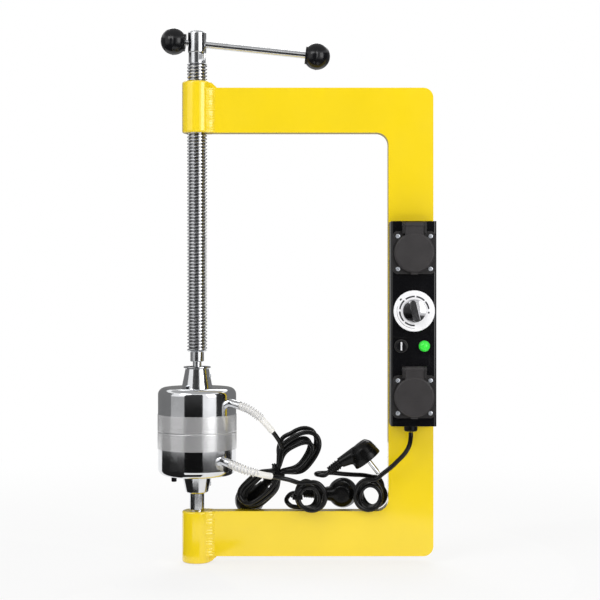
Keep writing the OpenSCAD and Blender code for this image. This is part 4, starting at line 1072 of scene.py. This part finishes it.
class VULCANIZER_OT_screw(bpy.types.Operator):
    """Lead screw with a cut thread, its sliding bar and the black balls"""
    bl_idname = "vulcanizer.screw"
    bl_label = "Screw"

    def execute(self, context):
        ends = node_copy("lead_screw")
        for z in (THREAD_LOW, THREAD_HIGH):
            cut_across(ends, z, dist=1e-6)
        middle = [f for f in ends.faces if THREAD_LOW < f.calc_center_median().z < THREAD_HIGH]
        bmesh.ops.delete(ends, geom=middle, context="FACES")
        bmesh.ops.holes_fill(ends, edges=[e for e in ends.edges if e.is_boundary], sides=0)
        bm = joined([(ends, Matrix.Identity(4)), (self.thread(), Matrix.Identity(4))])
        piece("threaded_screw", bm, "screw", thread_plating(), ("lead_screw",), angle=28)
        dressed(plating(), "tommy_bar")
        axis = Matrix.Translation((0, 0, BAR_Z)) @ Matrix.Rotation(math.radians(90) + BAR_DROOP, 4, "Y")
        left = axis @ Matrix.Translation((0, 0, -BAR_LEFT))
        right = axis @ Matrix.Translation((0, 0, BAR_RIGHT)) @ Matrix.Rotation(math.pi, 4, "X")
        balls = joined([(self.ball(), left), (self.ball(), right)])
        piece("bar_balls", balls, "tommy_bar", ball_plastic(), ("ball_knobs",), angle=24)
        return {"FINISHED"}

    def thread(self):
        """Turns of the thread stacked up the screw and cut square at both ends."""
        pitch = sizes().thread_pitch
        count = math.ceil((THREAD_HIGH - THREAD_LOW) / pitch) + 2
        bm = joined([(self.turn(), Matrix.Translation((0, 0, THREAD_LOW + (k - 1) * pitch)))
                     for k in range(count)])
        bmesh.ops.remove_doubles(bm, verts=bm.verts, dist=MERGE)
        for z, way in ((THREAD_LOW, -1), (THREAD_HIGH, 1)):
            rim = kept(cut_across(bm, z, way, dist=1e-7, clear_outer=True), EDGE)
            bmesh.ops.contextual_create(bm, geom=rim)
        bmesh.ops.recalc_face_normals(bm, faces=bm.faces)
        return bm

    def turn(self, steps=36):
        """One turn of the thread's profile."""
        pitch, crest = sizes().thread_pitch, SCREW_D / 2
        root, shoulder = crest - sizes().thread_depth, crest - 0.0001
        profile = [(root, 0), (root, 0.26), (shoulder, 0.48), (crest, 0.52), (crest, 0.74), (shoulder, 0.78),
                   (root, 1)]
        return spun([(r, 0, f * pitch) for r, f in profile], 2 * math.pi, steps, rise=pitch / steps)

    def ball(self):
        """A ball with a moulding seam and a stepped collar, its axis along Z."""
        radius, collar, reach, hole = 0.016, 0.0105, 0.0138, 0.00405
        seam, seam_width, bottom, steps = 0.00038, 0.035, 0.002, 48
        profile = []
        first = math.asin(collar / radius)
        for k in range(steps + 1):
            a = math.pi - (math.pi - first) * k / steps
            out = radius + seam * math.exp(-((a - math.pi / 2) / seam_width) ** 2)
            profile.append((out * math.sin(a), out * math.cos(a)))
        profile[0] = (0, profile[0][1])
        z = profile[-1][1]
        profile += [(collar + 0.0002, z + 0.0002), (collar + 0.0002, reach - 0.0003),
                    (collar - 0.0002, reach), (collar - 0.002, reach), (collar - 0.0024, reach - 0.0008),
                    (collar - 0.004, reach - 0.0008), (collar - 0.0044, reach), (hole + 0.0004, reach),
                    (hole, reach - 0.0004), (hole, bottom), (0, bottom)]
        return turned(profile, 80)


class VULCANIZER_OT_heads(bpy.types.Operator):
    """Chrome hubs and caps, turned plates, tubes and small screws of both heads"""
    bl_idname = "vulcanizer.heads"
    bl_label = "Heads"

    def execute(self, context):
        small = sizes().small_bevel
        for side in ("upper", "lower"):
            for name, node, material, width in (
                    ("hub_body", "hub", turned_chrome(), small), ("cap_shell", "cap", chrome(), FINE_EDGE),
                    ("heat_plate", "plate", turned_aluminium(), small),
                    ("grub", "hub_screw", zinc(), FINE_EDGE), ("lead_tube", "tube", chrome(), FINE_EDGE)):
                refined(f"{side}_{name}", f"{side}_{node}", material, width)
            dressed(zinc(), f"{side}_heater")
            dressed(mineral(), f"{side}_insulation")
        refined("head_pin", "lower_pin", turned_chrome(), small)
        refined("cap_earth_screw", "lower_cap_screw", panel_paint(), FINE_EDGE)
        return {"FINISHED"}


class VULCANIZER_OT_box(bpy.types.Operator):
    """Painted housing, sockets with their lids, and cross-recess screws"""
    bl_idname = "vulcanizer.box"
    bl_label = "Control Box"

    def execute(self, context):
        small = sizes().small_bevel
        refined("housing", "box_housing", panel_paint(), small)
        for side in ("upper", "lower"):
            refined(f"{side}_socket_body", f"{side}_socket", socket_plastic(), small)
            refined(f"{side}_socket_lid", f"{side}_lid", lid_plastic(), LID_EDGE)
        dressed(brass(), "socket_contacts")
        dressed(zinc(), "lid_pins", "box_screws")
        parts = []
        for z in SOCKET_Z:
            for i, (dx, dz) in enumerate(((-1, -1), (1, -1), (-1, 1), (1, 1))):
                # Each screw stops at an angle of its own
                turn = Matrix.Rotation(0.35 + 0.9 * i + 2 * z, 4, "Z")
                place = on_panel(BOX_X + dx * FLANGE_SPREAD, z + dz * FLANGE_SPREAD, FLANGE)
                parts.append((self.screw_head(), place @ turn))
        piece("flange_screws", joined(parts, outward=True), "frame", zinc(), ("socket_screws",),
              angle=30)
        return {"FINISHED"}

    def screw_head(self):
        """A pan head with a cross recess, its seat at Z zero."""
        radius, height, arm, half, deep = 0.0021, 0.0012, 0.0017, 0.00042, 0.0009
        bm = bmesh.new()
        cross = [(arm, -half), (arm, half), (half, half), (half, arm), (-half, arm), (-half, half),
                 (-arm, half), (-arm, -half), (-half, -half), (-half, -arm), (half, -arm), (half, -half)]
        inner = [bm.verts.new((x, y, height)) for x, y in cross]
        inner_edges = [bm.edges.new((a, b)) for a, b in zip(inner, inner[1:] + inner[:1])]
        rim = bmesh.ops.create_circle(bm, segments=24, radius=radius,
                                      matrix=Matrix.Translation((0, 0, height)))["verts"]
        edges = [e for e in bm.edges if e.verts[0] in rim and e.verts[1] in rim]
        bmesh.ops.bridge_loops(bm, edges=inner_edges + edges)
        for out, down in ((0.00035, 0.00012), (0.0002, 0.0003), (0.00005, 0.0005), (0, 0.00028)):
            grown = bmesh.ops.extrude_edge_only(bm, edges=edges)["geom"]
            verts, edges = kept(grown, VERT), kept(grown, EDGE)
            reach = max(math.hypot(v.co.x, v.co.y) for v in verts)
            bmesh.ops.scale(bm, vec=((reach + out) / reach, (reach + out) / reach, 1), verts=verts)
            bmesh.ops.translate(bm, vec=(0, 0, -down), verts=verts)
        bmesh.ops.contextual_create(bm, geom=edges)
        grown = bmesh.ops.extrude_edge_only(bm, edges=inner_edges)["geom"]
        bmesh.ops.scale(bm, vec=(0.6, 0.6, 1), verts=kept(grown, VERT))
        bmesh.ops.translate(bm, vec=(0, 0, -deep), verts=kept(grown, VERT))
        bmesh.ops.contextual_create(bm, geom=kept(grown, EDGE))
        return bm


class VULCANIZER_OT_controls(bpy.types.Operator):
    """Dial with its marks, knob, fuse, lamp, gland and the pieces inside the box"""
    bl_idname = "vulcanizer.controls"
    bl_label = "Controls"

    def execute(self, context):
        small = sizes().small_bevel
        refined("dial_plate", "dial_disc", dial_plastic(), FINE_EDGE)
        self.knob()
        self.marks()
        refined("fuse_seat", "fuse_holder", socket_plastic(), RIM_EDGE, segments=3)
        refined("fuse_top", "fuse_cap", gloss_plastic(), small)
        strip = block(SLOT_STRIP, on_panel(FUSE_X, FUSE_Z, STRIP_OUT))
        piece("fuse_slot_strip", strip, "fuse_cap", dial_plastic())
        dressed(fuse_glass(), "fuse")
        refined("lamp_bezel", "lamp_body", socket_plastic(), FINE_EDGE)
        refined("lamp_glass", "lamp_lens", lens_with_painted_glow(), FINE_EDGE)
        refined("gland_body", "cable_gland", plug_rubber(), small)
        dressed(zinc(), "thermostat")
        return {"FINISHED"}

    def knob(self):
        """A polished knob with a domed face, a grip bar across it and a shaft behind."""
        radius, rim, dome, top = KNOB_D / 2, 0.0036, 0.006, 0.013
        shaft, shaft_end, boss, back = 0.003, -0.015, radius - 0.00405, -0.0025
        edge, corner, lip, low = 0.0008, 0.0035, 0.0007, 0.002
        profile = [(0, shaft_end), (shaft, shaft_end), (shaft, back), (boss, back), (boss, 0), (radius, 0),
                   (radius, rim - edge), (radius - 0.0003, rim - 0.0002)]
        for k in range(12, -1, -1):
            profile.append(((radius - edge) * k / 12, dome - (dome - rim) * (k / 12) ** 2))
        bar = block((0.008, KNOB_D - 0.001, top - low), Matrix.Translation((0, 0, (top + low) / 2)))
        rounded(bar, [e for e in bar.edges if abs(e.verts[0].co.z - e.verts[1].co.z) > low], corner, 8)
        rounded(bar, [e for e in bar.edges if min(v.co.z for v in e.verts) > top - 0.0001], lip, 3)
        place = on_panel(BOX_X, DIAL_Z, DIAL_FACE)
        bm = joined([(turned(profile, 96), place), (bar, place @ Matrix.Rotation(GRIP_TURN, 4, "Z"))])
        piece("dial_knob", bm, "dial", knob_metal(), ("dial_grip",), weighted=True)

    def marks(self):
        """Dashes, a scale line and a dot printed on the dial, each with two radii, an angle and a sweep."""
        bands = [(0.0160, 0.0178, first, sweep) for first, sweep in
                 ((8, 32), (46, 36), (88, 38), (134, 39), (182, 41), (231, 41), (-10, 7))]
        bands += [(0.0200, 0.0204, 165, 106), (0.0198, 0.0216, 136, 7)]
        place = on_panel(BOX_X, DIAL_Z, DIAL_FACE)
        bm = joined([(self.arc(*band), place) for band in bands], outward=True)
        piece("dial_marks", bm, "dial", dial_ink(), angle=40)

    def arc(self, r0, r1, first, sweep, thick=0.00006):
        """A short band about the dial's middle, from an angle over a sweep."""
        a = math.radians(first)
        bm = spun([(r * math.cos(a), r * math.sin(a), 0) for r in (r0, r1)], math.radians(sweep),
                  max(2, round(sweep / 3)))
        grown = bmesh.ops.extrude_face_region(bm, geom=bm.faces[:])["geom"]
        bmesh.ops.translate(bm, vec=(0, 0, thick), verts=kept(grown, VERT))
        return bm


class VULCANIZER_PT_panel(bpy.types.Panel):
    """Buttons for the vulcanizer's steps, with its sizes and colours"""
    bl_idname = "VULCANIZER_PT_panel"
    bl_label = "Tire Vulcanizer"
    bl_space_type = "VIEW_3D"
    bl_region_type = "UI"
    bl_category = "Vulcanizer"

    def draw(self, context):
        for kind in OPERATORS:
            self.layout.operator(kind.bl_idname)
        for holder in (context.scene.vulcanizer_sizes, context.scene.vulcanizer_colours):
            box = self.layout.box()
            for name in holder.__annotations__:
                box.prop(holder, name)


OPERATORS = (VULCANIZER_OT_stage, VULCANIZER_OT_leads, VULCANIZER_OT_frame, VULCANIZER_OT_screw,
             VULCANIZER_OT_heads, VULCANIZER_OT_box, VULCANIZER_OT_controls)
CLASSES = (VulcanizerSizes, VulcanizerColours, *OPERATORS, VULCANIZER_PT_panel)


def register():
    for kind in CLASSES:
        bpy.utils.register_class(kind)
    bpy.types.Scene.vulcanizer_sizes = bpy.props.PointerProperty(type=VulcanizerSizes)
    bpy.types.Scene.vulcanizer_colours = bpy.props.PointerProperty(type=VulcanizerColours)


def unregister():
    del bpy.types.Scene.vulcanizer_colours
    del bpy.types.Scene.vulcanizer_sizes
    for kind in reversed(CLASSES):
        bpy.utils.unregister_class(kind)


def main():
    register()
    for name in ("stage", "leads", "frame", "screw", "heads", "box", "controls"):
        getattr(bpy.ops.vulcanizer, name)()


if __name__ == "__main__":
    main()
